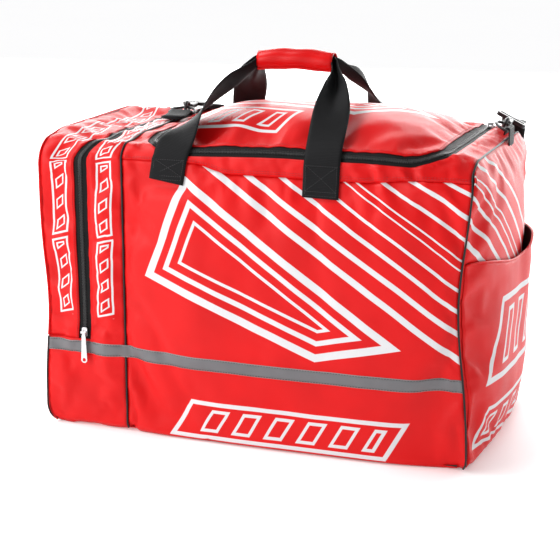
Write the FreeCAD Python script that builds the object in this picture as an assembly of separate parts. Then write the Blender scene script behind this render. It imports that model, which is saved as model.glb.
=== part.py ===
"""Soft sports equipment bag: a two-compartment duffel with a zipped lid and a zipped end.

The origin is at the middle of the base, on the surface the bag stands on.
+X runs along the bag, -Y is its front and +Z is up. All sizes are in millimetres.
"""
import FreeCAD, Part
import math
import os

os.makedirs("parts", exist_ok=True)

V = FreeCAD.Vector

# ---- driving dimensions of the shell -------------------------------------------------
LENGTH = 660.0            # over the two end seams
DEPTH = 360.0             # over the front and back panels
HEIGHT = 450.0            # from the floor to the top edge
CROWN = 42.0              # how far the lid domes above its zip
WALL = 3.0                # padded polyester laminate
END_WIDTH = 135.0         # end compartment, from the left end to the divider seam
EDGE_RADIUS = 8.0         # long top edges
END_BULGE = 8.0           # how far the right end panel stands out at half height
GAP = 0.3                 # running gap between pieces that move apart
SEAM = 0.05               # clearance between pieces that are sewn together

X_LEFT, X_RIGHT = -LENGTH / 2, LENGTH / 2
Y_FRONT, Y_BACK = -DEPTH / 2, DEPTH / 2
X_DIVIDER = X_LEFT + END_WIDTH
Z_FRAME = 412.0           # seam under the plain band that carries the lid zip
BOARD_THICKNESS = 3.5

# ---- lid and its zip -----------------------------------------------------------------
LID_X0, LID_X1 = -160.0, 288.0
LID_Y0, LID_Y1 = -170.0, 149.0
LID_CORNER = 60.0
LID_EDGE_Z = HEIGHT + 2.0
ZIP_TAPE = 10.0           # width of each half of a zip
TAPE_THICKNESS = 1.0
COIL_WIDTH = 5.0
COIL_HEIGHT = 1.2

# ---- end door and its zip ------------------------------------------------------------
DOOR_X = -266.0           # free edge of the door
END_ZIP_X = -263.0        # edge of the fixed half of the end zip
Z_SILL = 138.0            # top of the wall under the door
DOOR_GAP = 2.0

# ---- webbing and grip ----------------------------------------------------------------
WEB_WIDTH = 54.0
WEB_THICKNESS = 2.4
ANCHOR_Z0, ANCHOR_Z1 = 392.0, 448.0
HANDLE_AXIS_Y, HANDLE_AXIS_Z = 182.0, 450.5
FOOT_GAP = 4.0            # from the handle's swing axis to the start of its stiff part
FRONT_LEG_X = (-121.0, 117.0)
REAR_LEG_X = (-131.0, 113.0)
GRIP_X0, GRIP_X1 = -42.0, 76.0
GRIP_Z = 555.0
GRIP_RADIUS = 14.0
GRIP_WALL = 2.0
GRIP_SLOT = 7.0           # half height of the slot along the back of the grip wrap
BUNDLE_Y = (1.0, 10.0)    # folded webbing inside the grip, near and far side
BUNDLE_HALF_HEIGHT = 6.0

# ---- shoulder strap ------------------------------------------------------------------
STRAP_WIDTH = 38.0
STRAP_THICKNESS = 2.0
RING_WIRE = 2.2
RING_HALF_WIDTH = 21.0
RING_DEPTH = 22.0
RING_TILT = 26.0          # of the right ring and hook, above the top of the bag, in degrees

NODES = {}


def box(x0, x1, y0, y1, z0, z1):
    return Part.makeBox(x1 - x0, y1 - y0, z1 - z0, V(x0, y0, z0))


def polygon(points):
    return Part.Face(Part.makePolygon([V(*p) for p in points] + [V(*points[0])]))


def arc(a, b, c):
    return Part.Arc(V(*a), V(*b), V(*c)).toShape()


def line(a, b):
    return Part.LineSegment(V(*a), V(*b)).toShape()


def tube(edges, radius):
    """A round tube along a chain of edges that join smoothly."""
    path = Part.Wire(edges)
    first = path.OrderedEdges[0]
    start = first.valueAt(first.FirstParameter)
    direction = first.tangentAt(first.FirstParameter)
    ring = Part.Wire(Part.makeCircle(radius, start, direction))
    return path.makePipeShell([ring], True, False)


def save(name, shape):
    NODES[name] = shape
    shape.exportStep("parts/" + name + ".step")


# ---- shell ---------------------------------------------------------------------------
def arch_edges(inset, z_low):
    """Outline of the bag's cross-section above z_low, open at the bottom, in the YZ plane."""
    y = Y_BACK - inset
    z = HEIGHT - inset
    r = EDGE_RADIUS - inset
    k = r * (1 - math.sqrt(0.5))
    return [
        line((0, -y, z_low), (0, -y, z - r)),
        arc((0, -y, z - r), (0, -y + k, z - k), (0, -y + r, z)),
        line((0, -y + r, z), (0, y - r, z)),
        arc((0, y - r, z), (0, y - k, z - k), (0, y, z - r)),
        line((0, y, z - r), (0, y, z_low)),
    ]


def arch_solid(x0, x1, inset, z_low):
    y = Y_BACK - inset
    edges = arch_edges(inset, z_low) + [line((0, y, z_low), (0, -y, z_low))]
    face = Part.Face(Part.Wire(edges))
    face.translate(V(x0, 0, 0))
    return face.extrude(V(x1 - x0, 0, 0))


def arch_strip(x0, x1, z_low):
    """A strip of wall that runs up the front, over the top and down the back."""
    return arch_solid(x0, x1, 0, z_low).cut(arch_solid(x0 - 1, x1 + 1, WALL, z_low - 1))


def lid_outline(inset, z0, z1):
    """Prism over the lid's plan: square at the hinge, rounded at the two front corners."""
    x0, x1 = LID_X0 + inset, LID_X1 - inset
    y0, y1 = LID_Y0 + inset, LID_Y1
    r = LID_CORNER - inset
    k = r * (1 - math.sqrt(0.5))
    edges = [
        line((x0, y1, z0), (x0, y0 + r, z0)),
        arc((x0, y0 + r, z0), (x0 + k, y0 + k, z0), (x0 + r, y0, z0)),
        line((x0 + r, y0, z0), (x1 - r, y0, z0)),
        arc((x1 - r, y0, z0), (x1 - k, y0 + k, z0), (x1, y0 + r, z0)),
        line((x1, y0 + r, z0), (x1, y1, z0)),
        line((x1, y1, z0), (x0, y1, z0)),
    ]
    return Part.Face(Part.Wire(edges)).extrude(V(0, 0, z1 - z0))


def end_x(z):
    """Outer surface of the right end panel at height z."""
    half = (Z_FRAME - WALL) / 2
    radius = (half ** 2 + END_BULGE ** 2) / (2 * END_BULGE)
    middle = WALL + half
    return X_RIGHT + END_BULGE - radius + math.sqrt(radius ** 2 - (z - middle) ** 2)


def end_arc(z0, z1, offset, y=0.0):
    zm = (z0 + z1) / 2
    return arc((end_x(z0) + offset, y, z0), (end_x(zm) + offset, y, zm), (end_x(z1) + offset, y, z1))


def make_base():
    panel = box(X_LEFT, X_RIGHT, Y_FRONT, Y_BACK, 0, WALL)
    upright = [e for e in panel.Edges if abs(e.tangentAt(e.FirstParameter).z) > 0.9]
    save("base_panel", panel.makeFillet(20.0, upright))
    margin = 9.0
    save("base_board", box(X_LEFT + margin, X_RIGHT - margin, Y_FRONT + margin, Y_BACK - margin,
                           WALL, WALL + BOARD_THICKNESS))


def make_long_panels():
    for name, y0 in (("front_panel", Y_FRONT), ("back_panel", Y_BACK - WALL)):
        low, high = WALL, Z_FRAME - GAP
        edges = [
            line((X_DIVIDER, y0, low), (end_x(low), y0, low)),
            end_arc(low, high, 0, y0),
            line((end_x(high), y0, high), (X_DIVIDER, y0, high)),
            line((X_DIVIDER, y0, high), (X_DIVIDER, y0, low)),
        ]
        save(name, Part.Face(Part.Wire(edges)).extrude(V(0, WALL, 0)))


def make_right_end():
    low, high = WALL, Z_FRAME - GAP
    y0 = Y_FRONT + WALL
    edges = [
        end_arc(low, high, 0, y0),
        line((end_x(high), y0, high), (end_x(high) - WALL, y0, high)),
        end_arc(low, high, -WALL, y0),
        line((end_x(low) - WALL, y0, low), (end_x(low), y0, low)),
    ]
    wire = Part.Wire(Part.__sortEdges__(edges))
    save("right_end_panel", Part.Face(wire).extrude(V(0, DEPTH - 2 * WALL, 0)))


def make_end_pocket():
    """A patch pocket on the right end, open along its top edge."""
    low, high, floor = 20.0, 275.0, 26.0
    mouth_x, belly_x, z_belly = 360.0, 363.0, 170.0
    skin, seam, half = 2.5, SEAM, 168.0

    def section(z0, z1, inset, y):
        foot = end_x(z0) + WALL - inset
        edges = [
            end_arc(z0, z1, seam, y),
            line((end_x(z1) + seam, y, z1), (mouth_x - inset, y, z1)),
            arc((mouth_x - inset, y, z1), (belly_x - inset, y, z_belly), (foot + seam, y, z0)),
            line((foot + seam, y, z0), (end_x(z0) + seam, y, z0)),
        ]
        return Part.Face(Part.Wire(Part.__sortEdges__(edges)))

    outer = section(low, high, 0, -half).extrude(V(0, 2 * half, 0))
    inner = section(floor, high + 1, skin, -half + skin).extrude(V(0, 2 * (half - skin), 0))
    save("end_pocket", outer.cut(inner))
    binding = 6.0
    save("pocket_binding", box(mouth_x - skin, mouth_x, -half, half, high, high + binding))


def make_frame_and_divider():
    """The plain band round the lid opening, the divider and the fixed strip beside it."""
    inner_x = X_DIVIDER + WALL
    shell = arch_solid(inner_x, X_RIGHT, 0, Z_FRAME)
    hollow = arch_solid(inner_x - 1, X_RIGHT - WALL, WALL, Z_FRAME - 1)
    opening = lid_outline(-GAP, HEIGHT - 2 * WALL, HEIGHT + WALL)
    hinge_side = box(LID_X0 - GAP, LID_X1 + GAP, LID_Y1 - WALL, LID_Y1 + 2.6,
                     HEIGHT - 2 * WALL, HEIGHT + WALL)
    save("top_frame", shell.cut(hollow).cut(opening.fuse(hinge_side)))
    board_top = WALL + BOARD_THICKNESS
    save("divider_wall", box(X_DIVIDER, inner_x, Y_FRONT + WALL, Y_BACK - WALL,
                             board_top, HEIGHT - WALL))
    save("end_gusset", arch_strip(END_ZIP_X + 5, X_DIVIDER, WALL))


def make_end_door():
    low = Z_SILL + DOOR_GAP
    save("door_panel", arch_solid(X_LEFT, X_LEFT + WALL, 0, low))
    save("door_gusset", arch_strip(X_LEFT + WALL, DOOR_X, low))
    x1 = END_ZIP_X + 5
    outer = box(X_LEFT, x1, Y_FRONT, Y_BACK, WALL, Z_SILL)
    inner = box(X_LEFT + WALL, x1 + 1, Y_FRONT + WALL, Y_BACK - WALL, 0, Z_SILL + 1)
    save("end_sill", outer.cut(inner))


def make_lid():
    """A domed sheet inside a flat rim of zip tape."""
    x0, x1 = LID_X0 + ZIP_TAPE, LID_X1 - ZIP_TAPE
    y0, y1 = LID_Y0 + ZIP_TAPE, LID_Y1
    steps = 12
    rows = []
    for i in range(steps + 1):
        u = 2 * i / steps - 1
        row = []
        for j in range(steps + 1):
            v = 2 * j / steps - 1
            rise = CROWN * (1 - v ** 2) * (1 - u ** 4)
            row.append(V(x0 + (x1 - x0) * i / steps, y0 + (y1 - y0) * j / steps, LID_EDGE_Z + rise))
        rows.append(row)
    surface = Part.BSplineSurface()
    surface.interpolate(rows)
    sheet = surface.toShape().extrude(V(0, 0, -WALL))
    bound = lid_outline(ZIP_TAPE, LID_EDGE_Z - 2 * WALL, LID_EDGE_Z + 2 * CROWN)
    save("lid_panel", sheet.common(bound))
    rim = lid_outline(GAP, LID_EDGE_Z - WALL, LID_EDGE_Z)
    hole = lid_outline(ZIP_TAPE - SEAM, LID_EDGE_Z - 2 * WALL, LID_EDGE_Z + WALL)
    save("lid_zip_tape", rim.cut(hole))


# ---- zips ----------------------------------------------------------------------------
def make_main_zip():
    """The half of the lid zip that is sewn to the frame, and its coil."""
    z0 = HEIGHT + SEAM
    band = lid_outline(-ZIP_TAPE, z0, z0 + TAPE_THICKNESS)
    hole = lid_outline(-GAP, z0 - 1, z0 + 2)
    save("main_zip_tape", band.cut(hole))
    z1 = z0 + TAPE_THICKNESS
    coil = lid_outline(-COIL_WIDTH - 2 * GAP, z1, z1 + COIL_HEIGHT)
    save("main_zip_coil", coil.cut(lid_outline(-2 * GAP, z1 - 1, z1 + 3)))


def make_end_zip():
    """Tapes and coil that run up the front, over the top and down the back."""
    low = Z_SILL + DOOR_GAP

    def band(x0, x1, clear, thick, z_low):
        outer = arch_solid(x0, x1, -clear - thick, z_low)
        return outer.cut(arch_solid(x0 - 1, x1 + 1, -clear, z_low - 1))

    fixed_edge = END_ZIP_X + ZIP_TAPE
    save("end_zip_tape", band(END_ZIP_X, fixed_edge, SEAM, TAPE_THICKNESS, low))
    save("end_zip_coil", band(END_ZIP_X, END_ZIP_X + COIL_WIDTH, SEAM + TAPE_THICKNESS,
                              COIL_HEIGHT, low))
    door_edge = END_ZIP_X - GAP
    save("door_zip_tape", band(door_edge - ZIP_TAPE + 2, door_edge, SEAM, TAPE_THICKNESS, low))


PULL_AXIS = 5.0           # pull's pin above the slider's seat
PULL_LENGTH = 48.0


def slider_shapes():
    """Slider and pull in their own frame: +X across, +Y travel, +Z away from the bag.

    The seat of the slider is at z = 0, its pin at z = PULL_AXIS, and the pull lies along -Y.
    """
    width, length, plate = 9.0, 15.0, 2.0
    body = box(-width / 2, width / 2, -length / 2, length / 2, 0, plate)
    corners = [e for e in body.Edges if abs(e.tangentAt(e.FirstParameter).z) > 0.9]
    body = body.makeFillet(3.0, corners)
    ear_half, ear_inner, ear_outer = 2.4, 2.9, 4.1
    for side in (-1, 1):
        xs = sorted((side * ear_inner, side * ear_outer))
        ear = box(xs[0], xs[1], -ear_half, ear_half, plate, PULL_AXIS)
        cap = Part.makeCylinder(ear_half, ear_outer - ear_inner, V(xs[0], 0, PULL_AXIS), V(1, 0, 0))
        body = body.fuse(ear.fuse(cap))
    pin_radius = 1.0
    body = body.fuse(Part.makeCylinder(pin_radius, 2 * ear_inner + 1,
                                       V(-ear_inner - 0.5, 0, PULL_AXIS), V(1, 0, 0)))

    half_thickness, head_half, head_radius = 0.9, 2.5, 2.3
    head = Part.makeCylinder(head_radius, 2 * head_half, V(-head_half, 0, PULL_AXIS), V(1, 0, 0))
    neck_end, blade_half, tip_half = 4.4, 3.2, 5.0
    z0, z1 = PULL_AXIS - half_thickness, PULL_AXIS + half_thickness
    neck = box(-head_half, head_half, -neck_end - 1, -1.0, z0, z1)
    tip_y = -PULL_LENGTH + tip_half
    blade = Part.Face(Part.Wire([
        line((-blade_half, -neck_end, z0), (blade_half, -neck_end, z0)),
        line((blade_half, -neck_end, z0), (tip_half, tip_y, z0)),
        arc((tip_half, tip_y, z0), (0, -PULL_LENGTH, z0), (-tip_half, tip_y, z0)),
        line((-tip_half, tip_y, z0), (-blade_half, -neck_end, z0)),
    ])).extrude(V(0, 0, 2 * half_thickness))
    pull = head.fuse(neck).fuse(blade)
    pull = pull.cut(Part.makeCylinder(pin_radius + GAP, 20, V(-10, 0, PULL_AXIS), V(1, 0, 0)))
    hole_radius = 2.8
    pull = pull.cut(Part.makeCylinder(hole_radius, 10, V(0, tip_y, 0), V(0, 0, 1)))
    return body, pull


def placed(shape, origin, across, travel, outward):
    """Move a shape from its own frame to the bag's."""
    columns = (across, travel, outward, origin)
    matrix = FreeCAD.Matrix()
    rows = [[c[i] for c in columns] for i in range(3)]
    (matrix.A11, matrix.A12, matrix.A13, matrix.A14) = rows[0]
    (matrix.A21, matrix.A22, matrix.A23, matrix.A24) = rows[1]
    (matrix.A31, matrix.A32, matrix.A33, matrix.A34) = rows[2]
    copy = shape.copy()
    copy.transformShape(matrix, True)
    return copy


SEAT = SEAM + TAPE_THICKNESS + COIL_HEIGHT + GAP   # slider seat above the panel
END_SLIDER = (END_ZIP_X + COIL_WIDTH / 2, Y_FRONT - SEAT, 152.0)
MAIN_SLIDER = (LID_X1 + 5.3, 112.0, HEIGHT + SEAT)


def make_sliders():
    body, pull = slider_shapes()
    frames = {
        "end_zip": (END_SLIDER, (1, 0, 0), (0, 0, 1), (0, -1, 0)),
        "main_zip": (MAIN_SLIDER, (-1, 0, 0), (0, -1, 0), (0, 0, 1)),
    }
    for name, frame in frames.items():
        save(name + "_slider", placed(body, *frame))
        save(name + "_pull", placed(pull, *frame))


# ---- piping and reflective tape ------------------------------------------------------
def make_trim():
    radius = 2.0
    off = radius + 0.2
    y, z, r = Y_BACK + off, HEIGHT + off, EDGE_RADIUS + off
    k = r * (1 - math.sqrt(0.5))

    def arch_piping(x, z_low):
        return tube([
            line((x, -y, z_low), (x, -y, z - r)),
            arc((x, -y, z - r), (x, -y + k, z - k), (x, -y + r, z)),
            line((x, -y + r, z), (x, y - r, z)),
            arc((x, y - r, z), (x, y - k, z - k), (x, y, z - r)),
            line((x, y, z - r), (x, y, z_low)),
        ], radius)

    foot = 2 * radius
    save("divider_piping", arch_piping(X_DIVIDER, foot))
    save("door_piping", arch_piping(X_LEFT + radius, Z_SILL + DOOR_GAP + radius))
    inset = 1.0
    sides = [tube([end_arc(foot, Z_FRAME - GAP, inset - radius, side * y)], radius) for side in (-1, 1)]
    top = tube([line((X_RIGHT - radius, -y + r, z), (X_RIGHT - radius, y - r, z))], radius)
    save("right_end_piping", Part.makeCompound(sides + [top]))

    low, high, thickness = 118.0, 137.0, 0.8
    y1 = Y_FRONT - SEAM
    margin = 3.0
    strips = [
        box(X_LEFT + margin, X_DIVIDER - margin, y1 - thickness, y1, low, high),
        box(X_DIVIDER + margin, X_RIGHT - margin, y1 - thickness, y1, low, high),
    ]
    save("reflective_tape", Part.makeCompound(strips))


# ---- carry handles -------------------------------------------------------------------
def skin(sections):
    """A closed solid through four-cornered sections, with flat triangles for its sides."""
    faces = [polygon(sections[0][::-1]), polygon(sections[-1])]
    for low, high in zip(sections, sections[1:]):
        for i in range(4):
            j = (i + 1) % 4
            faces.append(polygon((low[i], low[j], high[j])))
            faces.append(polygon((low[i], high[j], high[i])))
    solid = Part.Solid(Part.Shell(faces))
    if solid.Volume < 0:
        solid.reverse()
    return solid


def handle_leg(x_foot, side, x_grip):
    """Flat webbing from the hinge line at the top edge, turning on edge into the grip."""
    start = V(0, side * HANDLE_AXIS_Y, HANDLE_AXIS_Z)
    run = V(0, -side * (HANDLE_AXIS_Y - BUNDLE_Y[0]), GRIP_Z - HANDLE_AXIS_Z)
    run.normalize()
    outward = V(0, side * run.z, abs(run.y))
    foot = start + run * FOOT_GAP
    lift = outward * (WEB_THICKNESS / 2)
    turn = -1 if x_foot < x_grip else 1
    edge = V(turn * WEB_WIDTH / 2, 0, 0)
    foot.x = x_foot
    low = [foot + edge + lift, foot - edge + lift, foot - edge - lift, foot + edge - lift]
    near, far = side * BUNDLE_Y[0], side * BUNDLE_Y[1]
    z0, z1 = GRIP_Z - BUNDLE_HALF_HEIGHT, GRIP_Z + BUNDLE_HALF_HEIGHT
    high = [V(x_grip, far, z1), V(x_grip, far, z0), V(x_grip, near, z0), V(x_grip, near, z1)]
    steps = 5
    sections = []
    for i in range(steps + 1):
        t = i / steps
        sections.append([a * (1 - t) + b * t for a, b in zip(low, high)])
    return skin(sections)


def make_handles():
    z0, z1 = GRIP_Z - BUNDLE_HALF_HEIGHT, GRIP_Z + BUNDLE_HALF_HEIGHT
    for name, side, feet in (("front", -1, FRONT_LEG_X), ("rear", 1, REAR_LEG_X)):
        ys = sorted((side * BUNDLE_Y[0], side * BUNDLE_Y[1]))
        strap = box(GRIP_X0, GRIP_X1, ys[0], ys[1], z0, z1)
        for x_foot, x_grip in zip(feet, (GRIP_X0, GRIP_X1)):
            strap = strap.fuse(handle_leg(x_foot, side, x_grip))
        save(name + "_handle_webbing", strap)
        plate_y = sorted((side * (Y_BACK + 0.8), side * (Y_BACK + 0.8 + WEB_THICKNESS)))
        for word, x in zip(("left", "right"), feet):
            save(name + "_anchor_" + word, box(x - WEB_WIDTH / 2, x + WEB_WIDTH / 2,
                                               plate_y[0], plate_y[1], ANCHOR_Z0, ANCHOR_Z1))
    origin, along = V(GRIP_X0, 0, GRIP_Z), V(1, 0, 0)
    length = GRIP_X1 - GRIP_X0
    sleeve = Part.makeCylinder(GRIP_RADIUS, length, origin, along)
    sleeve = sleeve.cut(Part.makeCylinder(GRIP_RADIUS - GRIP_WALL, length, origin, along))
    slot = box(GRIP_X0 - 1, GRIP_X1 + 1, 0, 2 * GRIP_RADIUS, GRIP_Z - GRIP_SLOT, GRIP_Z + GRIP_SLOT)
    save("grip_wrap", sleeve.cut(slot))


# ---- shoulder strap and its fittings -------------------------------------------------
def ring_shape():
    """D-ring: bar along X at y = 0, bow towards +Y, in the plane z = 0."""
    a, b, c = (-RING_HALF_WIDTH, 0, 0), (0, RING_DEPTH, 0), (RING_HALF_WIDTH, 0, 0)
    bow = tube([arc(a, b, c)], RING_WIRE)
    bar = Part.makeCylinder(RING_WIRE, 2 * RING_HALF_WIDTH, V(*a), V(1, 0, 0))
    ends = Part.makeSphere(RING_WIRE, V(*a)).fuse(Part.makeSphere(RING_WIRE, V(*c)))
    return bar.fuse(bow).fuse(ends)


def hook_shapes():
    """Snap hook and its strap eye: the crook hangs on a bow at the origin, and runs to +Y."""
    wire, crook_radius = 2.6, CROOK_RADIUS
    centre = crook_radius
    crook = tube([arc((0, centre - crook_radius, 0), (0, centre, crook_radius),
                      (0, centre + crook_radius, 0))], wire)
    crook = crook.fuse(tube([arc((0, centre - crook_radius, 0), (0, centre, -crook_radius),
                                 (0, centre + crook_radius, 0))], wire))
    body_start, body_end = 2 * crook_radius - 1, 2 * crook_radius + 22
    body = box(-6, 6, body_start, body_end, -4, 4)
    body = body.makeFillet(2.5, body.Edges)
    collar = Part.makeCylinder(4.5, 6, V(0, body_end - 1, 0), V(0, 1, 0))
    hook = crook.fuse(body).fuse(collar)
    eye_start = body_end + 5 + GAP
    outer = box(-24, 24, eye_start, eye_start + 16, -3, 3)
    upright = [e for e in outer.Edges if abs(e.tangentAt(e.FirstParameter).z) > 0.9]
    outer = outer.makeFillet(4.0, upright)
    bar_start, bar_end = eye_start + 12, eye_start + 16
    eye = outer.cut(box(-20, 20, eye_start + 5, bar_start, -5, 5))
    inner_y, inner_z = GAP, 3 + GAP
    half = STRAP_WIDTH / 2
    skin_y, skin_z = inner_y + STRAP_THICKNESS, inner_z + STRAP_THICKNESS
    loop = box(-half, half, bar_start - skin_y, bar_end + skin_y, -skin_z, skin_z)
    loop = loop.cut(box(-half - 1, half + 1, bar_start - inner_y, bar_end + inner_y, -inner_z, inner_z))
    return hook, eye, loop, bar_end + inner_y + 0.5


def ribbon(stations, width, thickness):
    """Flat webbing through stations of (centre, across)."""
    wires = []
    last = len(stations) - 1
    for i, (centre, across) in enumerate(stations):
        before, after = stations[max(i - 1, 0)][0], stations[min(i + 1, last)][0]
        tangent = after - before
        tangent.normalize()
        normal = tangent.cross(across)
        normal.normalize()
        side = normal.cross(tangent)
        w, t = side * (width / 2), normal * (thickness / 2)
        corners = [centre + w + t, centre - w + t, centre - w - t, centre + w - t]
        wires.append(Part.makePolygon(corners + [corners[0]]))
    return Part.makeLoft(wires, True, True)


STRAP_X0, STRAP_X1 = -193.0, 318.0
STRAP_TOP = HEIGHT + 7.0
HOOK_LEFT_Z = HEIGHT + 15.2
RING_LEFT = (STRAP_X0, 46.0, HEIGHT + 9.6)
RING_RIGHT = (X_RIGHT + 2.0, 63.0, HEIGHT + 9.0)
CROOK_RADIUS = 8.0
CROOK_SLACK = 5.4         # from the crook's far side to the ring wire that it hangs on


def make_left_fittings():
    """Ring lying on the top of the bag, with the strap running straight back from it."""
    hook, eye, loop, reach = hook_shapes()
    across, travel, outward = (1, 0, 0), (0, 1, 0), (0, 0, 1)
    lift = math.asin((HOOK_LEFT_Z - RING_LEFT[2]) / RING_DEPTH)
    along = (0, math.cos(lift), math.sin(lift))
    up = (0, -math.sin(lift), math.cos(lift))
    save("d_ring_left", placed(ring_shape(), RING_LEFT, across, along, up))
    wire_y = RING_LEFT[1] + RING_DEPTH * math.cos(lift)
    origin = (STRAP_X0, wire_y - CROOK_SLACK, HOOK_LEFT_Z)
    save("strap_hook_left", placed(hook, origin, across, travel, outward))
    save("strap_eye_left", placed(eye, origin, across, travel, outward))
    loop = placed(loop, origin, across, travel, outward)
    return V(origin[0], origin[1] + reach, origin[2]), loop


def make_right_fittings():
    """Ring standing up from the end seam, with the hook on the rear side of its bow."""
    hook, eye, loop, reach = hook_shapes()
    tilt = math.radians(RING_TILT)
    inward = V(-math.cos(tilt), 0, math.sin(tilt))
    normal = V(math.sin(tilt), 0, math.cos(tilt))
    along_bar = V(0, 1, 0)
    save("d_ring_right", placed(ring_shape(), RING_RIGHT, along_bar, inward, normal))
    turn = math.radians(30)     # round the bow, from the bar's end
    wire = V(*RING_RIGHT) + along_bar * (RING_HALF_WIDTH * math.cos(turn))
    wire = wire + inward * (RING_DEPTH * math.sin(turn))
    origin = wire - along_bar * CROOK_SLACK
    frame = (origin, along_bar.cross(normal), along_bar, normal)
    save("strap_hook_right", placed(hook, *frame))
    save("strap_eye_right", placed(eye, *frame))
    return origin + along_bar * reach, normal.cross(along_bar), placed(loop, *frame)


def make_ring_tabs():
    """Webbing tabs that are sewn to the bag and wrap round the bars of the D-rings."""
    loop, bore, half = 4.8, RING_WIRE + 0.2, 18.0
    tail_left, tail_right = 42.0, 41.0

    x, y, z = RING_LEFT
    wrap = Part.makeCylinder(loop, 2 * half, V(x - half, y, z), V(1, 0, 0))
    plate = box(x - half, x + half, y - tail_left, y, z - loop, z - loop + WEB_THICKNESS)
    hole = Part.makeCylinder(bore, 2 * half + 2, V(x - half - 1, y, z), V(1, 0, 0))
    save("ring_tab_left", wrap.fuse(plate).cut(hole))

    x, y, z = RING_RIGHT
    wrap = Part.makeCylinder(loop, 2 * half, V(x, y - half, z), V(0, 1, 0))
    plate = box(x + loop - WEB_THICKNESS, x + loop, y - half, y + half, z - tail_right, z)
    hole = Part.makeCylinder(bore, 2 * half + 2, V(x, y - half - 1, z), V(0, 1, 0))
    save("ring_tab_right", wrap.fuse(plate).cut(hole))


def make_shoulder_strap():
    """From the left hook, over the back edge, in a loose loop behind the bag, to the right hook."""
    left_end, left_loop = make_left_fittings()
    right_end, right_across, right_loop = make_right_fittings()
    across_x, across_y = V(1, 0, 0), V(0, -1, 0)
    back = Y_BACK + 7.0
    stations = [
        (left_end, across_x),
        (V(STRAP_X0, 144, STRAP_TOP + 4), across_x),
        (V(STRAP_X0 + 1, 168, STRAP_TOP), across_x),
        (V(STRAP_X0 + 2, 182, HEIGHT + 3), across_x),
        (V(STRAP_X0 + 3, back, HEIGHT - 10), across_x),
        (V(STRAP_X0 + 7, back + 3, HEIGHT - 40), V(0.95, -0.3, 0)),
        (V(STRAP_X0 + 13, back + 9, HEIGHT - 75), V(0.6, -0.8, 0)),
    ]
    middle_x, half_span, z_low, sag_radius = 60.0, 230.0, 74.0, 150.0
    hang_y = back + 18.0
    turns = 14
    for i in range(turns + 1):
        x = -half_span + 2 * half_span * i / turns
        z = z_low + sag_radius * (math.cosh(x / sag_radius) - 1)
        stations.append((V(middle_x + x, hang_y, z), across_y))
    stations += [
        (V(STRAP_X1 - 15, back + 9, HEIGHT - 75), V(-0.6, -0.8, 0)),
        (V(STRAP_X1 - 9, back + 3, HEIGHT - 40), V(-0.95, -0.3, 0)),
        (V(STRAP_X1 - 5, back, HEIGHT - 10), V(-1, 0, 0)),
        (V(STRAP_X1 - 3, 182, HEIGHT + 3), V(-1, 0, 0)),
        (V(STRAP_X1 - 2, 168, STRAP_TOP + 1), V(-1, 0, 0)),
        (right_end + V(0, 7, 0), right_across),
        (right_end, right_across),
    ]
    strap = ribbon(stations, STRAP_WIDTH, STRAP_THICKNESS)
    strap = strap.fuse(left_loop).fuse(right_loop)
    save("shoulder_strap", strap)
    length = sum((b[0] - a[0]).Length for a, b in zip(stations, stations[1:]))
    print("shoulder strap length mm", round(length), "volume ratio",
          round(strap.Volume / (length * STRAP_WIDTH * STRAP_THICKNESS), 3))


make_base()
make_long_panels()
make_right_end()
make_end_pocket()
make_frame_and_divider()
make_end_door()
make_lid()
make_main_zip()
make_end_zip()
make_sliders()
make_trim()
make_handles()
make_ring_tabs()
make_shoulder_strap()

for node, shape in sorted(NODES.items()):
    bounds = shape.BoundBox
    print(f"{node:24s} solids {len(shape.Solids)} valid {shape.isValid()} volume {shape.Volume:10.0f} "
          f"x {bounds.XMin:7.1f} {bounds.XMax:7.1f} y {bounds.YMin:7.1f} {bounds.YMax:7.1f} "
          f"z {bounds.ZMin:6.1f} {bounds.ZMax:6.1f}")
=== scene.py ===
"""Looks of the two-compartment sports bag: sewn shell, zips, webbing, print, light and camera.

Lengths are in millimetres unless a name says otherwise, and meshes are made in metres.
The shell is worked out in a flat pattern. X runs along the bag. W runs up the front (0 to 450),
over the top (450 to 810) and down the back (810 to 1260).
"""
import math
from functools import partialmethod, reduce

import bmesh
import bpy
import numpy as np
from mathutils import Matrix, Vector, noise
from mathutils.geometry import delaunay_2d_cdt


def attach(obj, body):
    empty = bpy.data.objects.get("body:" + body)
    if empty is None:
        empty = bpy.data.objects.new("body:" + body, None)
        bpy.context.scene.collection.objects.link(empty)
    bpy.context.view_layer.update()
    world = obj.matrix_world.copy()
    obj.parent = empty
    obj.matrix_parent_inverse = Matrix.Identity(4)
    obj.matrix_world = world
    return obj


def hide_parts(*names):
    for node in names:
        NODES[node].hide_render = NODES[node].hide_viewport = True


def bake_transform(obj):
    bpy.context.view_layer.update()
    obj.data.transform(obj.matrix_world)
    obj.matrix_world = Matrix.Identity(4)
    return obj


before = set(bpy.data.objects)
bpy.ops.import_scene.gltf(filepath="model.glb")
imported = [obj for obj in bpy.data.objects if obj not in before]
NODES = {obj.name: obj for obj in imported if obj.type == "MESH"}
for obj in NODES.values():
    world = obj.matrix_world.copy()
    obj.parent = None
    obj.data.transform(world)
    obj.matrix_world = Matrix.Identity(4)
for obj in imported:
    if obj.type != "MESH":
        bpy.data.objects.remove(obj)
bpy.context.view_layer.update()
MM = 0.001

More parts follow.
